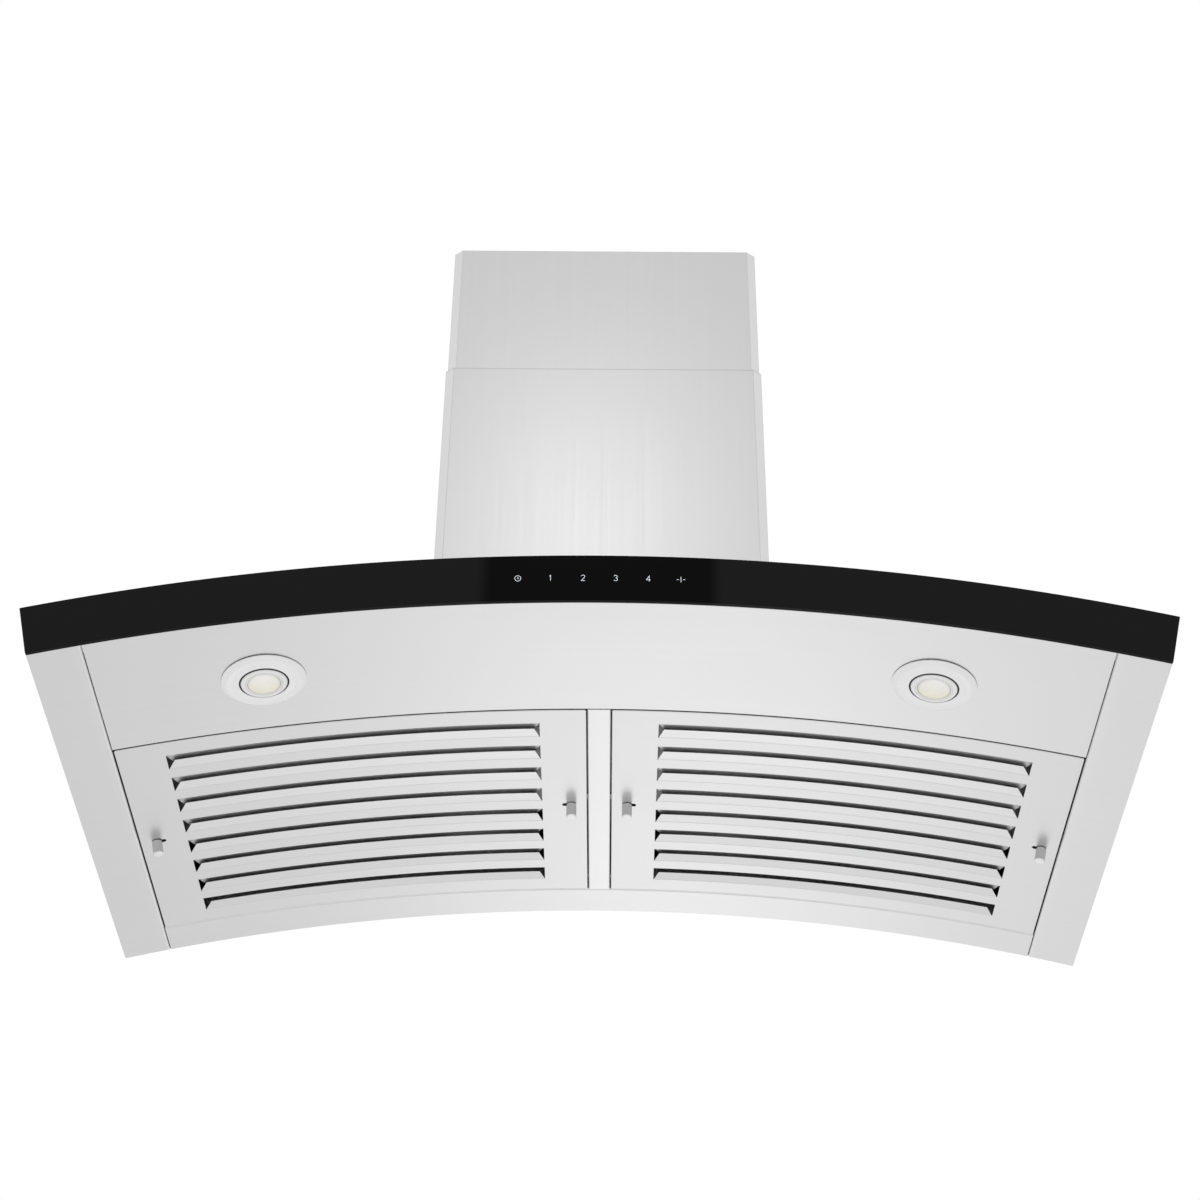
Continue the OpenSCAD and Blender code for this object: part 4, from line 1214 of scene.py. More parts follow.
@dataclass
class Lamp:
    """A round lamp: trim with a mouth, tilting ball and domed lens."""

    side: int
    x: float = 275.0
    y: float = -415.0
    trim_r: float = 35.0
    mouth_r: float = 20.5
    barrel_r: float = 27.5
    barrel_top: float = 22.0
    ball_r: float = 23.9
    ball_z: float = 10.5
    gap: float = 0.3
    face_z: float = -5.0
    lens_r: float = 13.5
    bulge_r: float = 28.0

    @property
    def name(self) -> str:
        """The lamp's side as a word."""
        return "left" if self.side < 0 else "right"

    def place(self) -> Matrix:
        """Frame on the arch that the lamp stands in."""
        return ARCH.place(self.side * self.x, self.y)

    def trim(self) -> bpy.types.Object:
        """The trim: a bevelled flange with a shallow dish, and the barrel behind it.

        Returns:
            The finished piece.
        """
        hollow = self.ball_r + self.gap
        low = self.ball_z - sqrt(hollow ** 2 - self.mouth_r ** 2)
        start = acos((self.ball_z - low) / hollow)
        bowl = [(hollow * sin(start + (pi / 2 - start) * i / 10),
                 self.ball_z - hollow * cos(start + (pi / 2 - start) * i / 10))
                for i in range(11)]
        outer = [(self.barrel_r, 0.0), (self.trim_r - 1.3, 0.0), (self.trim_r, -0.6),
                 (self.trim_r, -1.3),
                 (self.trim_r - 4.6, -4.0), (self.mouth_r + 5.5, -3.3),
                 (self.mouth_r + 1.6, -3.9), (self.mouth_r, -3.9)]
        radii = [0.0, 0.0, 0.1, 0.6, 1.6, 5.0, 1.0, 0.5]
        corners = outer + [*bowl, (hollow, self.barrel_top), (self.barrel_r, self.barrel_top)]
        radii += [0.0] * (len(corners) - len(radii))
        profile = fillet(corners, radii, 4, closed=True)

        def shape(angle: float, r: float, z: float) -> Solid:
            """Lays the flange's top face on the arch."""
            x, y = r * cos(angle), r * sin(angle)
            sink = sqrt(ARCH.radius ** 2 - x * x) - ARCH.radius if r > self.barrel_r - 0.01 else 0
            return (x, y, z + (sink if -0.2 < z < 0.01 else 0.0))

        thing = Shell().lathe(profile, 128, shape).move(self.place()).object(f"trim_{self.name}")
        return dress(thing, TRIM, "root", [f"lamp_trim_{self.name}"], angle=50)

    def ball(self) -> bpy.types.Object:
        """The tilting ball, with a fine step round the lens.

        Returns:
            The finished piece.
        """
        top = self.barrel_top
        low = acos((self.ball_z - self.face_z) / self.ball_r)
        high = pi / 2 + asin((top - self.ball_z) / self.ball_r)
        outer = [(self.ball_r * sin(low + (high - low) * i / 16),
                  self.ball_z - self.ball_r * cos(low + (high - low) * i / 16))
                 for i in range(17)]
        r = self.lens_r
        inner = [(15.0, top), (15.0, 1.4), (11.0, 1.4), (11.0, -1.0), (r, -1.0), (r, -4.5),
                 (r + 0.5, -5.0), (r + 1.5, -5.0), (r + 1.55, -4.55), (r + 1.95, -4.55),
                 (r + 2.0, -5.0)]
        corners = outer + inner
        radii = [0.35] + [0.0] * (len(corners) - 1)
        profile = fillet(corners, radii, 3, closed=True)
        thing = Shell().lathe(profile, 112).move(self.place()).object(f"ball_{self.name}")
        centre = self.place() @ Vector((0, 0, self.face_z + 1.0))
        # The ball's finish paints the groove round it in the trim's mouth black, as painted shade.
        finish = BallPaintGrooveShade(f"ball_paint_{self.name}", tone=0.84, centre_x=centre.x,
                           centre_y=centre.y)
        return dress(thing, finish, f"lamp_{self.name}", [f"lamp_ball_{self.name}"], angle=50)

    def lens(self) -> bpy.types.Object:
        """The frosted lens: a shallow dome on a seat.

        Returns:
            The finished piece.
        """
        edge = sqrt(self.bulge_r ** 2 - self.lens_r ** 2)
        dome = []
        for i in range(13):
            a = asin(self.lens_r / self.bulge_r) * i / 12
            dome.append((self.bulge_r * sin(a), self.face_z + edge - self.bulge_r * cos(a)))
        profile = [*dome, (self.lens_r, -1.0), (0.0, -1.0)]
        radii = [0.0] * len(profile)
        radii[12] = 0.5
        profile = fillet(profile, radii, 3, closed=False)
        thing = Shell().lathe(profile, 96).move(self.place()).object(f"lens_{self.name}")
        centre = self.place() @ Vector((0, 0, self.face_z))
        # The lens's finish carries painted shade on its rim and painted light on its front.
        finish = FrostedLens(f"frosted_lens_{self.name}", centre_x=centre.x, centre_y=centre.y)
        return dress(thing, finish, f"lamp_{self.name}", [f"lamp_lens_{self.name}"])

    def build(self) -> None:
        """Builds and dresses the lamp."""
        self.trim()
        self.ball()
        self.lens()


# Filters


@dataclass(frozen=True)
class Flap:
    """A flap bent up beside a groove, mitred at both ends."""

    run: float
    rise: float
    mitre: float
    bend: float = 1.3


@dataclass
class Stamping:
    """A pressed plate of a filter, drawn flat as (x, y, height) before it is bent."""

    x0: float
    x1: float
    y0: float
    y1: float
    wall: float
    groove_y: float
    count: int
    rear: Flap
    front: Flap
    groove_x0: float = 51.0
    groove_x1: float = 367.0
    pitch: float = 34.5
    width: float = 20.0
    bend: float = 0.7
    up: bool = True

    def wall_path(self, at: float, inwards: int) -> list[Flat]:
        """The rounded way from a wall's rim down to the plate.

        Args:
            at: Where the wall stands.
            inwards: 1 if the plate lies on the larger side of it.

        Returns:
            Points of (place, height).
        """
        corners = [(at, self.wall), (at, 0.0), (at + inwards * 4 * self.bend, 0.0)]
        return fillet(corners, min(self.bend, 0.8 * abs(self.wall)), 4)[:-1]

    def columns(self) -> tuple[list[Flat], list[float], list[Flat]]:
        """Column places: the left margin, the field of the grooves, the right margin."""
        left = self.wall_path(self.x0, 1)
        start = left[-1][0]
        left += [(start + (self.groove_x0 - start) * i / 4, 0.0) for i in range(1, 5)]
        middle = [self.groove_x0 + (self.groove_x1 - self.groove_x0) * i / 32 for i in range(33)]
        right = self.wall_path(self.x1, -1)
        start = right[-1][0]
        right += [(start + (self.groove_x1 - start) * i / 4, 0.0) for i in range(1, 5)]
        return left, middle, right[::-1]

    def flap_rows(self, y: float, flap: Flap, along: int) -> list[tuple[float, float, float]]:
        """Rows of a flap from the plate outwards: (y, height, inset of the ends)."""
        path = [(y - along * 4.0, 0.0), (y, 0.0), (y + along * flap.run, flap.rise)]
        path = fillet(path, flap.bend, 4)[1:]
        total = sum((Vector(b) - Vector(a)).length for a, b in zip(path, path[1:]))
        rows, gone = [(path[0][0], path[0][1], 0.0)], 0.0
        for a, b in zip(path, path[1:]):
            gone += (Vector(b) - Vector(a)).length
            rows.append((b[0], b[1], 0.15 + flap.mitre * gone / total))
        return rows

    def field_patch(self, shell: Shell, rows: Sequence[tuple[float, float, float]]) -> None:
        """Adds rows that span the grooves, each shortened by its inset."""
        middle = self.columns()[1]
        half = (self.groove_x1 - self.groove_x0) / 2
        centre = (self.groove_x1 + self.groove_x0) / 2
        grid = [[(centre + (x - centre) * (half - inset) / half, y, h) for x in middle]
                for y, h, inset in rows]
        shell.patch(grid, down=self.up)

    def margin_patches(self, shell: Shell, stations: Sequence[float]) -> None:
        """Adds the two margins with their walls, between front to back stations."""
        left, _, right = self.columns()
        for side in (left, right):
            shell.patch([[(x, y, h) for x, h in side] for y in stations], down=self.up)

    def land(self) -> Shell:
        """One pitch of the plate about the land between two grooves, at y = 0."""
        shell = Shell()
        half = (self.pitch - self.width) / 2
        rear = self.flap_rows(-half, self.rear, -1)[::-1]
        front = self.flap_rows(half, self.front, 1)
        self.field_patch(shell, rear + front)
        stations = [-self.pitch / 2, rear[-1][0], front[0][0], self.pitch / 2]
        self.margin_patches(shell, stations)
        return shell

    def end(self, rear: bool) -> Shell:
        """The plate's front or rear border, with its wall and one flap."""
        shell = Shell()
        left, middle, right = self.columns()
        whole = left + [(x, 0.0) for x in middle[1:-1]] + right
        flat = [p for p in whole if abs(p[1]) < 1e-6]
        last = self.groove_y + (self.count - 1) * self.pitch
        if rear:
            flap = self.flap_rows(last + self.width, self.rear, -1)[::-1]
            wall = self.wall_path(self.y1, -1)[::-1]
            rows = [(flap[-1][0], 0.0), wall[0]]
            self.margin_patches(shell, [last + self.width / 2, flap[-1][0]])
        else:
            flap = self.flap_rows(self.groove_y, self.front, 1)
            wall = self.wall_path(self.y0, 1)
            rows = [wall[-1], (flap[0][0], 0.0)]
            self.margin_patches(shell, [flap[0][0], self.groove_y + self.width / 2])
        self.field_patch(shell, flap)
        shell.patch([[(x, y, h) for x, h in whole] for y, _ in rows], down=self.up)
        shell.patch([[(x, y, h) for x, _ in flat] for y, h in wall], down=self.up)
        return shell

    def plate(self, name: str, face: float, finish: Finish, thickness: float) -> bpy.types.Object:
        """Repeats the lands, joins the borders and bends the plate to the arch.

        Args:
            name: Name of the piece.
            face: Height of the plate's face above the arch; the drawing's heights count
                from it, upwards or downwards.
            finish: The plate's finish.
            thickness: Thickness of the sheet.

        Returns:
            The piece as a plain mesh.
        """
        parts = [self.end(False).object("border_front", solid=False),
                 self.end(True).object("border_rear", solid=False)]
        graph = GeometryGraph("bent_louvres")
        count = graph.input("Lands", "Int", self.count - 1)
        pitch = graph.input("Pitch", "Float", self.pitch * MM)
        first = graph.input("First land", "Float",
                            (self.groove_y + (self.width + self.pitch) / 2) * MM)
        radius = graph.input("Arch radius", "Float", (ARCH.radius + face) * MM)
        axis = graph.input("Arch axis", "Float", ARCH.axis_z * MM)
        front = graph.input("Front border", "Object", parts[0])
        rear = graph.input("Rear border", "Object", parts[1])
        step = graph.add("ShaderNodeCombineXYZ", inputs={"Y": pitch})
        start = graph.add("ShaderNodeCombineXYZ", inputs={"Y": first})
        line = graph.add(
            "GeometryNodeMeshLine",
            {"mode": "OFFSET"},
            {"Count": count, "Start Location": start, "Offset": step},
        )
        lands = graph.add(
            "GeometryNodeInstanceOnPoints", inputs={"Points": line, "Instance": graph.geometry()}
        )
        borders = [graph.add("GeometryNodeObjectInfo", inputs={"Object": part}, output="Geometry")
                   for part in (front, rear)]
        whole = graph.add("GeometryNodeJoinGeometry", inputs={0: [lands, *borders]})
        flat = graph.add("GeometryNodeRealizeInstances", inputs={0: whole})
        joined = graph.add(
            "GeometryNodeMergeByDistance", inputs={"Geometry": flat, "Distance": 2e-6}
        )
        sign = 1 if self.up else -1
        bent = graph.map_points(
            joined,
            lambda x, y, z: (x, y, axis + ((radius + z * sign) ** 2 - x * x).root()),
        )
        thing = graph.apply(name, self.land().object(name, solid=False), bent, finish)
        for part in parts:
            drop_object(part)
        thick = thing.modifiers.new("thick", "SOLIDIFY")
        thick.thickness = thickness * MM
        thick.offset = -1.0
        thick.use_even_offset = True
        return settle(thing)


@dataclass
class FilterPair:
    """Both filters: pan, baffle, springs and knobs; the left one mirrors the right one."""

    fx0: float = 11.0
    fx1: float = 407.0
    fy0: float = -343.0
    fy1: float = -42.0
    pan_h: float = 14.0
    baffle_h: float = 12.0
    thickness: float = 0.8
    margin: float = 19.75
    inset: float = 1.0
    knob_inset: float = 14.0
    knob_r: float = 4.5
    knob_l: float = 13.0
    knob_lift: float = 0.4
    travel: float = 6.0
    spring_x: float = 21.9
    spring_z: float = 8.8
    spring_l: float = 9.8

    def latch_place(self, outer: bool) -> Matrix:
        """Frame of a latch on the right hand filter, whose +X points out of the filter."""
        x = self.fx1 - self.knob_inset if outer else self.fx0 + self.knob_inset
        place = ARCH.place(x, (self.fy0 + self.fy1) / 2)
        return place if outer else place @ Matrix.Diagonal((-1, 1, 1, 1))

    def slot_tool(self, outer: bool) -> Shell:
        """The slot that a knob's stem slides in, to cut with."""
        r = 2.3
        half = [(r * cos(a), r * sin(a)) for a in
                [radians(-90 + 15 * i) for i in range(13)]]
        outline = half + [(-x - self.travel, -y) for x, y in half]
        rings = [[(x, y, z) for x, y in outline] for z in (-1.0, 2.0)]
        return Shell().loft(rings).move(self.latch_place(outer))

    def window_tool(self, outer: bool) -> Shell:
        """The window in the pan's wall for a latch bolt, to cut with."""
        shell = box_shell((11.0, -4.3, 8.3), (18.0, 4.3, 11.3))
        return shell.move(self.latch_place(outer))

    def pan(self) -> bpy.types.Object:
        """The face plate of the right hand filter."""
        stamping = Stamping(
            self.fx0, self.fx1, self.fy0, self.fy1, self.pan_h, self.fy0 + self.margin, 8,
            Flap(5.7, 4.5, 4.9), Flap(1.5, 3.5, 3.0),
        )
        thing = stamping.plate("filter_face_right", 0.0, PAN, self.thickness)
        tools = [self.slot_tool(o) for o in (True, False)]
        tools += [self.window_tool(o) for o in (True, False)]
        return cut(thing, tools)

    def baffle(self) -> bpy.types.Object:
        """The upper plate: the same stamping turned over, half a pitch on."""
        edge = self.inset + self.thickness
        flap = Flap(5.7, 4.5, 8.5)
        stamping = Stamping(
            self.fx0 + edge, self.fx1 - edge, self.fy0 + edge, self.fy1 - edge,
            -(self.pan_h - self.baffle_h - self.thickness), self.fy0 + self.margin + 17.25, 7,
            flap, flap, groove_x0=50.5, groove_x1=372.0, bend=0.8, up=False,
        )
        top = self.baffle_h + self.thickness
        return stamping.plate("filter_upper_right", top, BAFFLE, self.thickness)

    def spring(self, outer: bool) -> bpy.types.Object:
        """The coil spring behind a latch bolt, wound by a geometry tree."""
        graph = GeometryGraph("coil_spring")
        wire = 0.5
        turns = graph.input("Turns", "Float", 6.0)
        coil = graph.input("Coil radius", "Float", 1.95 * MM)
        high = graph.input("Length", "Float", (self.spring_l - wire) * MM)
        thick = graph.input("Wire radius", "Float", wire / 2 * MM)
        spiral = graph.add(
            "GeometryNodeCurveSpiral",
            inputs={"Resolution": 24, "Rotations": turns, "Start Radius": coil,
                    "End Radius": coil, "Height": high},
        )
        ring = graph.add(
            "GeometryNodeCurvePrimitiveCircle", inputs={"Resolution": 8, "Radius": thick}
        )
        tube = graph.add(
            "GeometryNodeCurveToMesh",
            inputs={"Curve": spiral, "Profile Curve": ring, "Fill Caps": True},
        )
        name = f"spring_{'outer' if outer else 'inner'}_right"
        thing = graph.apply(name, None, tube, WIRE)
        foot = Matrix.Translation((wire / 2 - self.spring_x, 0, self.spring_z))
        lie = foot @ Matrix.Rotation(pi / 2, 4, "Y")
        whole = self.latch_place(outer) @ lie
        mesh = thing.data
        mesh.transform(Matrix.Diagonal((MM, MM, MM, 1)) @ whole @ Matrix.Diagonal(
            (1 / MM, 1 / MM, 1 / MM, 1)))
        if not outer:
            mesh.flip_normals()
        return thing

    def knob(self, outer: bool) -> bpy.types.Object:
        """A knurled round knob with a smooth end face."""
        r, top = self.knob_r, -self.knob_lift
        low = top - self.knob_l
        path = fillet(
            [(2.1, top - 6.0), (2.1, top), (r - 0.35, top), (r, top - 0.5), (r, low + 0.7),
             (r - 0.7, low), (0.0, low + 0.05)],
            [0, 0.1, 0.2, 0.4, 0.3, 0.5, 0], 3,
        )
        path = [(0.0, top - 6.0), *path]

        def shape(angle: float, radius: float, z: float) -> Solid:
            """Sinks fine upright flutes into the knob's side."""
            side = 1.0 if radius > r - 0.02 else 0.0
            cut_in = radius - side * 0.1 * (1 + cos(40 * angle))
            return (cut_in * cos(angle), cut_in * sin(angle), z)

        shell = Shell().lathe(path, 240, shape).move(self.latch_place(outer))
        return shell.object(f"knob_{'outer' if outer else 'inner'}_right")

    def mirrored(self, thing: bpy.types.Object) -> bpy.types.Object:
        """A copy of a right hand piece for the left hand filter."""
        mesh = thing.data.copy()
        mesh.transform(Matrix.Diagonal((-1, 1, 1, 1)))
        mesh.flip_normals()
        other = bpy.data.objects.new(thing.name.replace("right", "left"), mesh)
        mesh.name = other.name
        bpy.context.scene.collection.objects.link(other)
        return other

    def tie_spring(self, thing: bpy.types.Object, side: str, where: str) -> None:
        """Dresses a spring.

        Args:
            thing: The spring.
            side: The filter's side.
            where: The latch's place on the filter.
        """
        place = self.latch_place(where == "outer")
        start, along = place @ Vector((-self.spring_x, 0, self.spring_z)), place.col[0].to_3d()
        if side == "left":
            start.x, along.x = -start.x, -along.x
        dress(thing, WIRE, f"filter_{side}", [f"latch_springs_{side}"], angle=40)
        tuple(along)
        tuple(start * MM)
        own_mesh(thing)

    def build(self) -> None:
        """Builds the right filter's pieces, and both filters from them."""
        plates = [(self.pan(), PAN, "filter_pan"), (self.baffle(), BAFFLE, "filter_baffle")]
        latches = [(self.knob(where == "outer"), self.spring(where == "outer"), where)
                   for where in ("outer", "inner")]
        for side in ("left", "right"):
            turn = self.mirrored if side == "left" else (lambda thing: thing)
            for thing, finish, node in plates:
                dress(turn(thing), finish, f"filter_{side}", [f"{node}_{side}"], angle=40)
            for knob, spring, where in latches:
                body = f"latch_{side}_{where}"
                dress(turn(knob), KNOB, body, [f"latch_knob_{side}_{where}"], angle=24)
                self.tie_spring(turn(spring), side, where)


def join(things: Sequence[bpy.types.Object], name: str) -> bpy.types.Object:
    """Joins objects into one mesh.

    Args:
        things: The objects; they are deleted.
        name: Name of the joined object.

    Returns:
        The new object.
    """
    work = bmesh.new()
    for thing in things:
        work.from_mesh(thing.data)
    mesh = bpy.data.meshes.new(name)
    work.to_mesh(mesh)
    work.free()
    for thing in things:
        drop_object(thing)
    made = bpy.data.objects.new(name, mesh)
    bpy.context.scene.collection.objects.link(made)
    return made


# Chimney


@dataclass
class Chimney:
    """Two telescoping covers, bent from one sheet each."""

    width: float = 312.0
    depth: float = 270.0
    crown: float = -105.0
    lower_h: float = 412.0
    show: float = 164.0
    upper_h: float = 400.0
    gap: float = 0.75
    seat: float = 0.3
    sheet_t: float = 1.0
    bevel_w: float = 8.0
    bevel_d: float = 6.0
    back_lip: float = 14.0

    def outline(self, width: float, y0: float, y1: float) -> list[Flat]:
        """Outline of a cover in plan, with its bevelled corners and rear lips.

        Args:
            width: Outer width.
            y0: Front face.
            y1: Rear edge.

        Returns:
            A closed outline of (x, y).
        """
        half = self.sheet_t / 2
        x, front, back = width / 2 - half, y0 + half, y1 - half
        one = [(x - self.back_lip + half, back), (x, back), (x, front + self.bevel_d),
               (x - self.bevel_w, front)]
        path = one + [(-a, b) for a, b in reversed(one)]
        radii = [0, 1.4, 1.2, 1.2, 1.2, 1.2, 1.4, 0]
        return sheet(fillet(path, radii, 5), self.sheet_t)

    def cover(self, name: str, outline: Sequence[Flat], low: Callable[[float], float],
              high: float) -> Shell:
        """A cover from its outline, its lower edge and its top."""
        dense: list[Flat] = []
        for (a, b), (c, d) in zip(outline, [*outline[1:], outline[0]]):
            parts = max(1, round(abs(c - a) / 12))
            dense += [(a + (c - a) * i / parts, b + (d - b) * i / parts) for i in range(parts)]
        rings = [[(x, y, low(x)) for x, y in dense], [(x, y, high) for x, y in dense]]
        log.info("%s: outline of %d points", name, len(dense))
        return Shell().loft(rings)

    def build(self) -> None:
        """Builds and dresses both covers."""
        top = self.crown + self.lower_h
        lower = self.outline(self.width, -self.depth, 0.0)
        shell = self.cover("lower", lower, lambda x: ARCH.point(x, 0, 45.0)[2], top)
        for side in (-1, 1):
            x0, x1 = sorted((side * 155.2, side * 141.0))
            rings = [[ARCH.point(x, y, 45.0 + h) for x, h in
                      ((x0, 0), (x1, 0), (x1, self.sheet_t), (x0, self.sheet_t))]
                     for y in (-170.0, -110.0)]
            shell.loft(rings)
        # The lower cover's finish paints a shade band just under its top edge.
        finish = CoverSteel("chimney_steel_lower", edge_z=top)
        dress(shell.object("cover_lower"), finish, "root", ["chimney_lower"])
        inset = self.sheet_t + self.gap
        upper = self.outline(
            self.width - 2 * inset, -self.depth + inset, -self.sheet_t - self.seat
        )
        high = top + self.show
        shell = self.cover("upper", upper, lambda x: high - self.upper_h, high)
        dress(shell.object("cover_upper"), COVER, "chimney_upper", ["chimney_upper"])


# Blower wheel


@dataclass
class Wheel:
    """The double inlet wheel, with curved blades set round it by a geometry tree."""

    y: float = -121.0
    z: float = 13.0
    radius: float = 90.0
    width: float = 136.0
    blades: int = 30
    depth: float = 20.0
    rim: float = 3.0
    hub_r: float = 12.0
    hub_l: float = 22.0
    shaft_r: float = 4.0

    def blade(self) -> Shell:
        """One forward curved blade along the axis, at angle 0."""
        start = Vector((self.radius - self.depth + 1.0, 0.0))
        lean = radians(28)
        reach = self.depth - self.rim
        path = []
        for i in range(7):
            s = i / 6
            bow = 2.2 * sin(pi * s)
            path.append((start.x + reach * s * cos(lean) + bow * sin(lean),
                         reach * s * sin(lean) - bow * cos(lean)))
        outline = sheet(path, 0.9)
        half = self.width / 2 - 1.0
        return Shell().loft([[(x, y, z) for x, y in outline] for z in (-half, half)])

    def frame(self) -> Matrix:
        """Frame of the wheel, whose Z runs along the hood's +X."""
        return Matrix.Translation((0, self.y, self.z)) @ Matrix.Rotation(pi / 2, 4, "Y")

    def build(self) -> None:
        """Builds and dresses the wheel."""
        graph = GeometryGraph("blade_ring")
        count = graph.input("Blades", "Int", self.blades)
        ring = graph.add("GeometryNodeMeshCircle", inputs={"Vertices": count, "Radius": 1e-4})
        index = graph.add("GeometryNodeInputIndex")
        turn = graph.add("ShaderNodeCombineXYZ", inputs={"Z": index * (2 * pi) / count})
        centre = graph.add(
            "GeometryNodeSetPosition", inputs={"Geometry": ring, "Position": (0.0, 0.0, 0.0)}
        )
        blades = graph.add(
            "GeometryNodeInstanceOnPoints",
            inputs={"Points": centre, "Instance": graph.geometry(), "Rotation": turn},
        )
        vanes = graph.apply("wheel_vanes", self.blade().object("wheel_vanes"), blades, INNER)
        solid = Shell()
        plate_r = self.radius - self.rim / 2
        solid.lathe(
            [(self.shaft_r, -self.hub_l / 2), (self.hub_r, -self.hub_l / 2),
             (self.hub_r, -1.0), (plate_r, -1.0), (plate_r, 1.0), (self.hub_r, 1.0),
             (self.hub_r, self.hub_l / 2), (self.shaft_r, self.hub_l / 2)], 96)
        inner = self.radius - self.depth
        for end in (-1, 1):
            mid = end * (self.width - self.rim) / 2
            solid.lathe([(inner, mid - 1.5), (self.radius, mid - 1.5), (self.radius, mid + 1.5),
                         (inner, mid + 1.5)], 96)
        discs = solid.object("wheel_discs")
        whole = join([vanes, discs], "wheel")
        scale = Matrix.Diagonal((MM, MM, MM, 1))
        whole.data.transform(scale @ self.frame() @ scale.inverted())
        dress(whole, INNER, "blower_wheel", ["blower_wheel"])


# Screws


@dataclass
class Screws:
    """Pan head screws with a cross recess, set on points by a geometry tree."""

    name: str
    node: str
    places: list[tuple[Matrix, float]]
    body: str = "root"
    head_r: float = 4.0
    head_h: float = 2.4
    shank_r: float = 2.0

    def tree(self) -> GeometryGraph:
        """The geometry tree that turns and sets a head on each point."""
        graph = GeometryGraph("screw_set")
        head = graph.input("Head", "Object", None)
        axis = graph.add(
            "GeometryNodeInputNamedAttribute", {"data_type": "FLOAT_VECTOR"}, {"Name": "axis"}
        )
        turn = graph.add("FunctionNodeAlignRotationToVector", {"axis": "Z"}, {"Vector": axis})
        shape = graph.add("GeometryNodeObjectInfo", inputs={"Object": head}, output="Geometry")
        graph.result = graph.add(
            "GeometryNodeInstanceOnPoints",
            inputs={"Points": graph.geometry(), "Instance": shape, "Rotation": turn},
        )
        return graph

    def one(self, length: float) -> bpy.types.Object:
        """One screw whose head stands on the origin."""
        r, h = self.head_r, self.head_h
        profile = fillet(
            [(0.0, h), (r * 0.75, h * 0.9), (r, h * 0.3), (r, 0.0), (self.shank_r, 0.0),
             (self.shank_r, 0.6 - length), (self.shank_r - 0.6, -length), (0.0, -length)],
            [0, 1.2, 0.5, 0.1, 0, 0, 0, 0], 3,
        )
        head = Shell().lathe(profile, 32).object("screw_head")
        bars = [box_shell((-2.2, -0.45, h - 1.3), (2.2, 0.45, h + 1)),
                box_shell((-0.45, -2.2, h - 1.3), (0.45, 2.2, h + 1))]
        return cut(head, bars)

    def build(self) -> None:
        """Builds and dresses the set."""
        head = self.one(self.places[0][1])
        points = [tuple(place.translation * MM) for place, _ in self.places]
        mesh = bpy.data.meshes.new(self.name)
        mesh.from_pydata(points, [], [])
        way = mesh.attributes.new("axis", "FLOAT_VECTOR", "POINT")
        for i, (place, _) in enumerate(self.places):
            way.data[i].vector = (place.to_3x3() @ Vector((0, 0, 1))).normalized()
        base = bpy.data.objects.new(self.name, mesh)
        bpy.context.scene.collection.objects.link(base)
        graph = self.tree()
        for identifier in graph.values:
            graph.values[identifier] = head
        thing = graph.apply(self.name, base, graph.result, SCREW)
        drop_object(head)
        if "axis" in thing.data.attributes:
            thing.data.attributes.remove(thing.data.attributes["axis"])
        dress(thing, SCREW, self.body, [self.node])


def screw_sets() -> list[Screws]:
    """Every set of screws with its places.

    Returns:
        The sets.
    """
    def sideways(x: float, y: float, z: float, turn: float) -> Matrix:
        """Frame at a point whose Z is turned from upright about Y."""
        return Matrix.Translation((x, y, z)) @ Matrix.Rotation(turn, 4, "Y")

    plate = [(ARCH.place(x, -14.0, 48.0), 7.0) for x in (-90.0, -35.0, 35.0, 90.0)]
    feet = [(ARCH.place(x, -135.0 + s * 67.0, 47.0), 6.0) for x in (-45.0, 45.0)
            for s in (-1, 1)]
    wheel = Wheel().frame()
    for i in range(3):
        arm = Matrix.Rotation(radians(120 * i + 90), 4, "Z")
        feet.append((wheel @ arm @ Matrix.Translation((100.0, 0.0, 86.0)), 10.0))
    tabs = [(ARCH.place(s * 147.5, -140.0, 46.0), 5.0) for s in (-1, 1)]
    ears = [(sideways(s * 154.25, -56.3, 438.5, s * pi / 2), 6.0) for s in (-1, 1)]
    return [
        Screws("plate_screws", "canopy_screws", plate),
        Screws("blower_fixings", "blower_screws", feet),
        Screws("tab_screws", "chimney_tab_screws", tabs),
        Screws("bracket_fixings", "chimney_bracket_screws", ears, "chimney_upper"),
    ]


# Stage


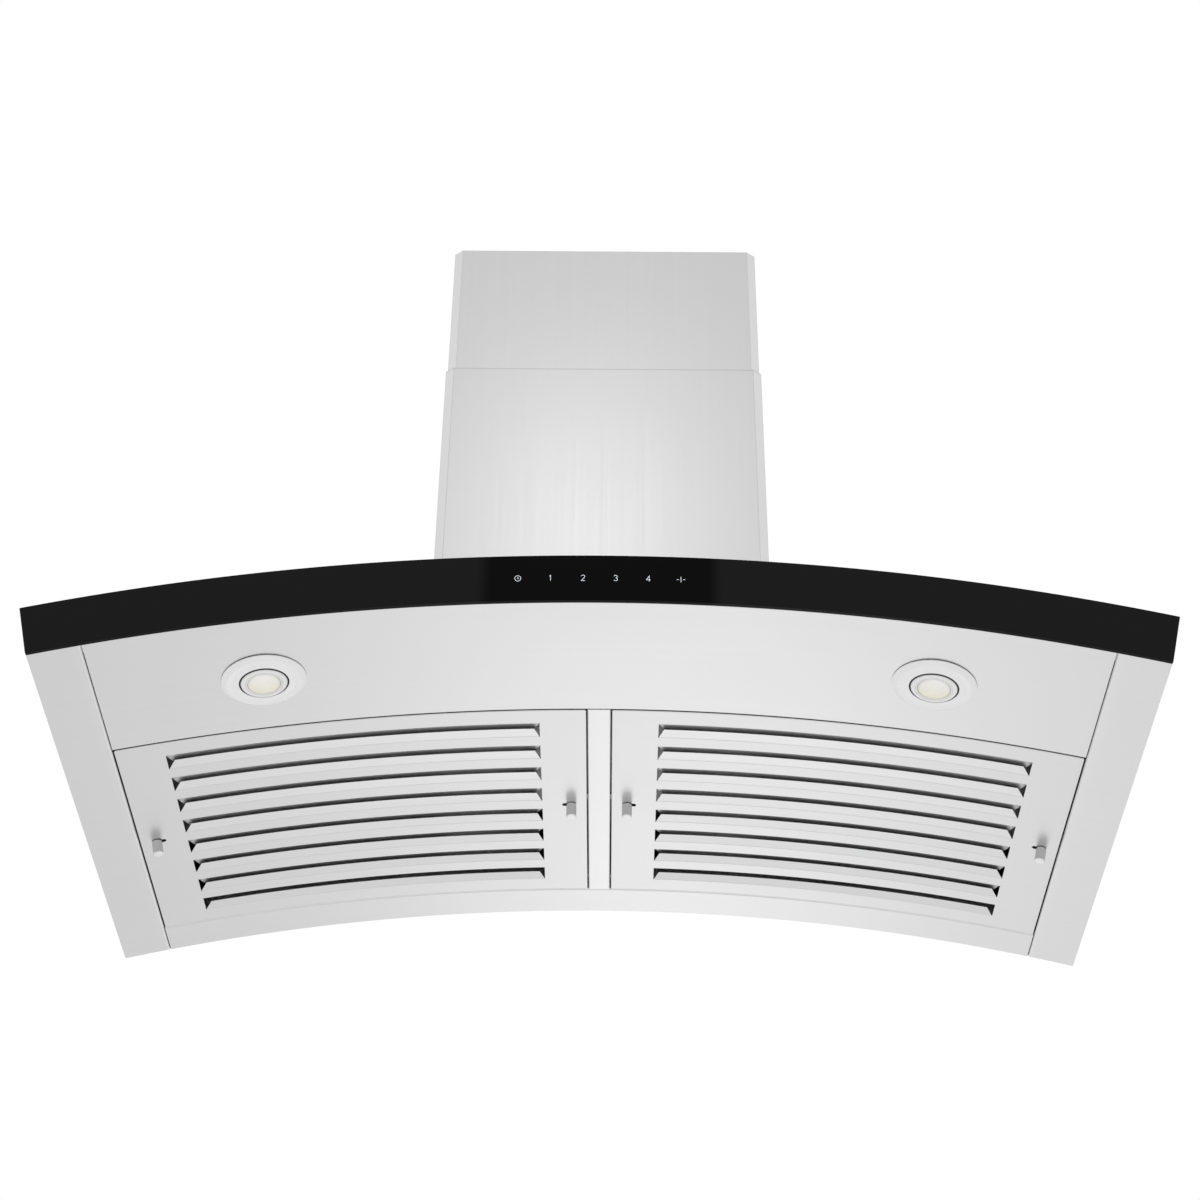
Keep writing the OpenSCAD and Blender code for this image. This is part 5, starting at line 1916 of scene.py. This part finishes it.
@dataclass
class Studio:
    """Floor, soft light and camera."""

    floor_z: float = -1.72
    world_fill: float = 1.0

    def floor(self) -> None:
        """A plain pale floor that mirrors and glass see as white."""
        shell = Shell().patch([[(x, y, self.floor_z / MM) for x in (-9000, 9000)]
                               for y in (-9000, 9000)])
        plane = shell.object("floor", solid=False)
        made = bpy.data.materials.new("floor_paint")
        made.use_nodes = True
        made.node_tree.nodes.clear()
        graph = ShaderGraph(made.node_tree)
        grain = graph.noise(graph.place(), 3.0, 2.0)
        matt = graph.add("ShaderNodeBsdfDiffuse", inputs={
            "Color": graph.mix(grain, tint(0.80), tint(0.82))})
        glow = graph.add("ShaderNodeEmission", inputs={"Color": tint(1.0), "Strength": 1.0})
        seen = graph.add("ShaderNodeLightPath", output="Is Camera Ray")
        shiny = graph.add("ShaderNodeLightPath", output="Is Glossy Ray")
        through = graph.add("ShaderNodeLightPath", output="Is Transmission Ray")
        part = graph.add("ShaderNodeMixShader",
                         inputs={0: (seen * 0.5 + shiny + through).at_least(0.0), 1: matt, 2: glow})
        graph.add("ShaderNodeOutputMaterial", inputs={"Surface": part})
        plane.data.materials.append(made)

    def world(self) -> None:
        """A white surround for camera, mirrors and glass, and soft fill for the rest."""
        world = bpy.data.worlds.new("surround")
        world.use_nodes = True
        world.node_tree.nodes.clear()
        graph = ShaderGraph(world.node_tree)
        rays = [graph.add("ShaderNodeLightPath", output=name) for name in
                ("Is Camera Ray", "Is Glossy Ray", "Is Transmission Ray")]
        white = rays[0].at_least(rays[1]).at_least(rays[2])
        strength = white * (1.0 - self.world_fill) + self.world_fill
        back = graph.add("ShaderNodeBackground", inputs={"Color": tint(1.0), "Strength": strength})
        graph.add("ShaderNodeOutputWorld", inputs={"Surface": back})
        bpy.context.scene.world = world

    def lamp(self, name: str, at: Solid, to: Solid, size: Flat, power: float) -> None:
        """A soft area light that points from one place at another.

        Args:
            name: Name of the light.
            at: Where it stands, in metres.
            to: What it points at.
            size: Width and height.
            power: Its power in watts.
        """
        light = bpy.data.lights.new(name, "AREA")
        light.shape = "RECTANGLE"
        light.size, light.size_y = size
        light.energy = power
        holder = bpy.data.objects.new(name, light)
        holder.matrix_world = Matrix.Translation(at) @ (
            Vector(to) - Vector(at)).to_track_quat("-Z", "Y").to_matrix().to_4x4()
        bpy.context.scene.collection.objects.link(holder)

    def camera(self) -> None:
        """The camera at the photograph's place, angle and lens."""
        lens = bpy.data.cameras.new("view")
        lens.sensor_fit = "HORIZONTAL"
        lens.sensor_width = 36.0
        lens.lens = 2405.573 / 1200 * 36.0
        lens.clip_start, lens.clip_end = 0.05, 60.0
        a, b, c = (radians(v) for v in (36.801, -0.425, 0.313))
        turn = (Matrix.Rotation(a, 3, "X") @ Matrix.Rotation(b, 3, "Y")
                @ Matrix.Rotation(c, 3, "Z"))
        right, ahead, up = turn.col[0], turn.col[1], turn.col[2]
        pose = Matrix((right, up, -ahead)).transposed().to_4x4()
        pose.translation = Vector((0.011204, -2.035303, -1.298743))
        holder = bpy.data.objects.new("view", lens)
        holder.matrix_world = pose
        bpy.context.scene.collection.objects.link(holder)
        bpy.context.scene.camera = holder

    def build(self) -> None:
        """Sets the whole stage."""
        self.camera()
        self.floor()
        self.world()
        self.lamp("under", (0.03, 1.35, -1.35), (0.0, -0.25, -0.15), (0.3, 1.3), 0.68)
        self.lamp("under_wide", (0.3, 1.35, -1.35), (0.0, -0.25, -0.15), (0.9, 1.3), 0.42)
        self.lamp("below", (0.03, -0.76, -1.42), (0.0, -0.19, -0.1), (0.3, 0.45), 0.5)
        for side in (-1, 1):
            self.lamp(f"bevel_{side}", (side * 1.7, -0.6, 1.5), (0.0, -0.27, 0.2), (0.7, 1.0), 0.75)
        self.lamp("front", (-0.04, -2.35, 1.68), (0.0, -0.27, 0.15), (0.32, 0.45), 1.1)
        bpy.context.scene.view_settings.view_transform = "Standard"


def dress_frame() -> None:
    """Gives every CAD node that stays in view its finish."""
    for name, finish in CAD_FINISH.items():
        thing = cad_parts[name]
        for slot in thing.material_slots:
            slot.material = finish.material()
        log.info("%s: %s", name, finish.name)


def main() -> None:
    """Builds the hood piece by piece, and the stage round it."""
    logging.basicConfig(level=logging.INFO, format="%(name)s: %(message)s")
    Studio().build()
    dress_frame()
    Canopy().build()
    Keys().build()
    for side in (-1, 1):
        Lamp(side).build()
    FilterPair().build()
    Chimney().build()
    Wheel().build()
    for screws in screw_sets():
        screws.build()


if __name__ == "__main__":
    main()
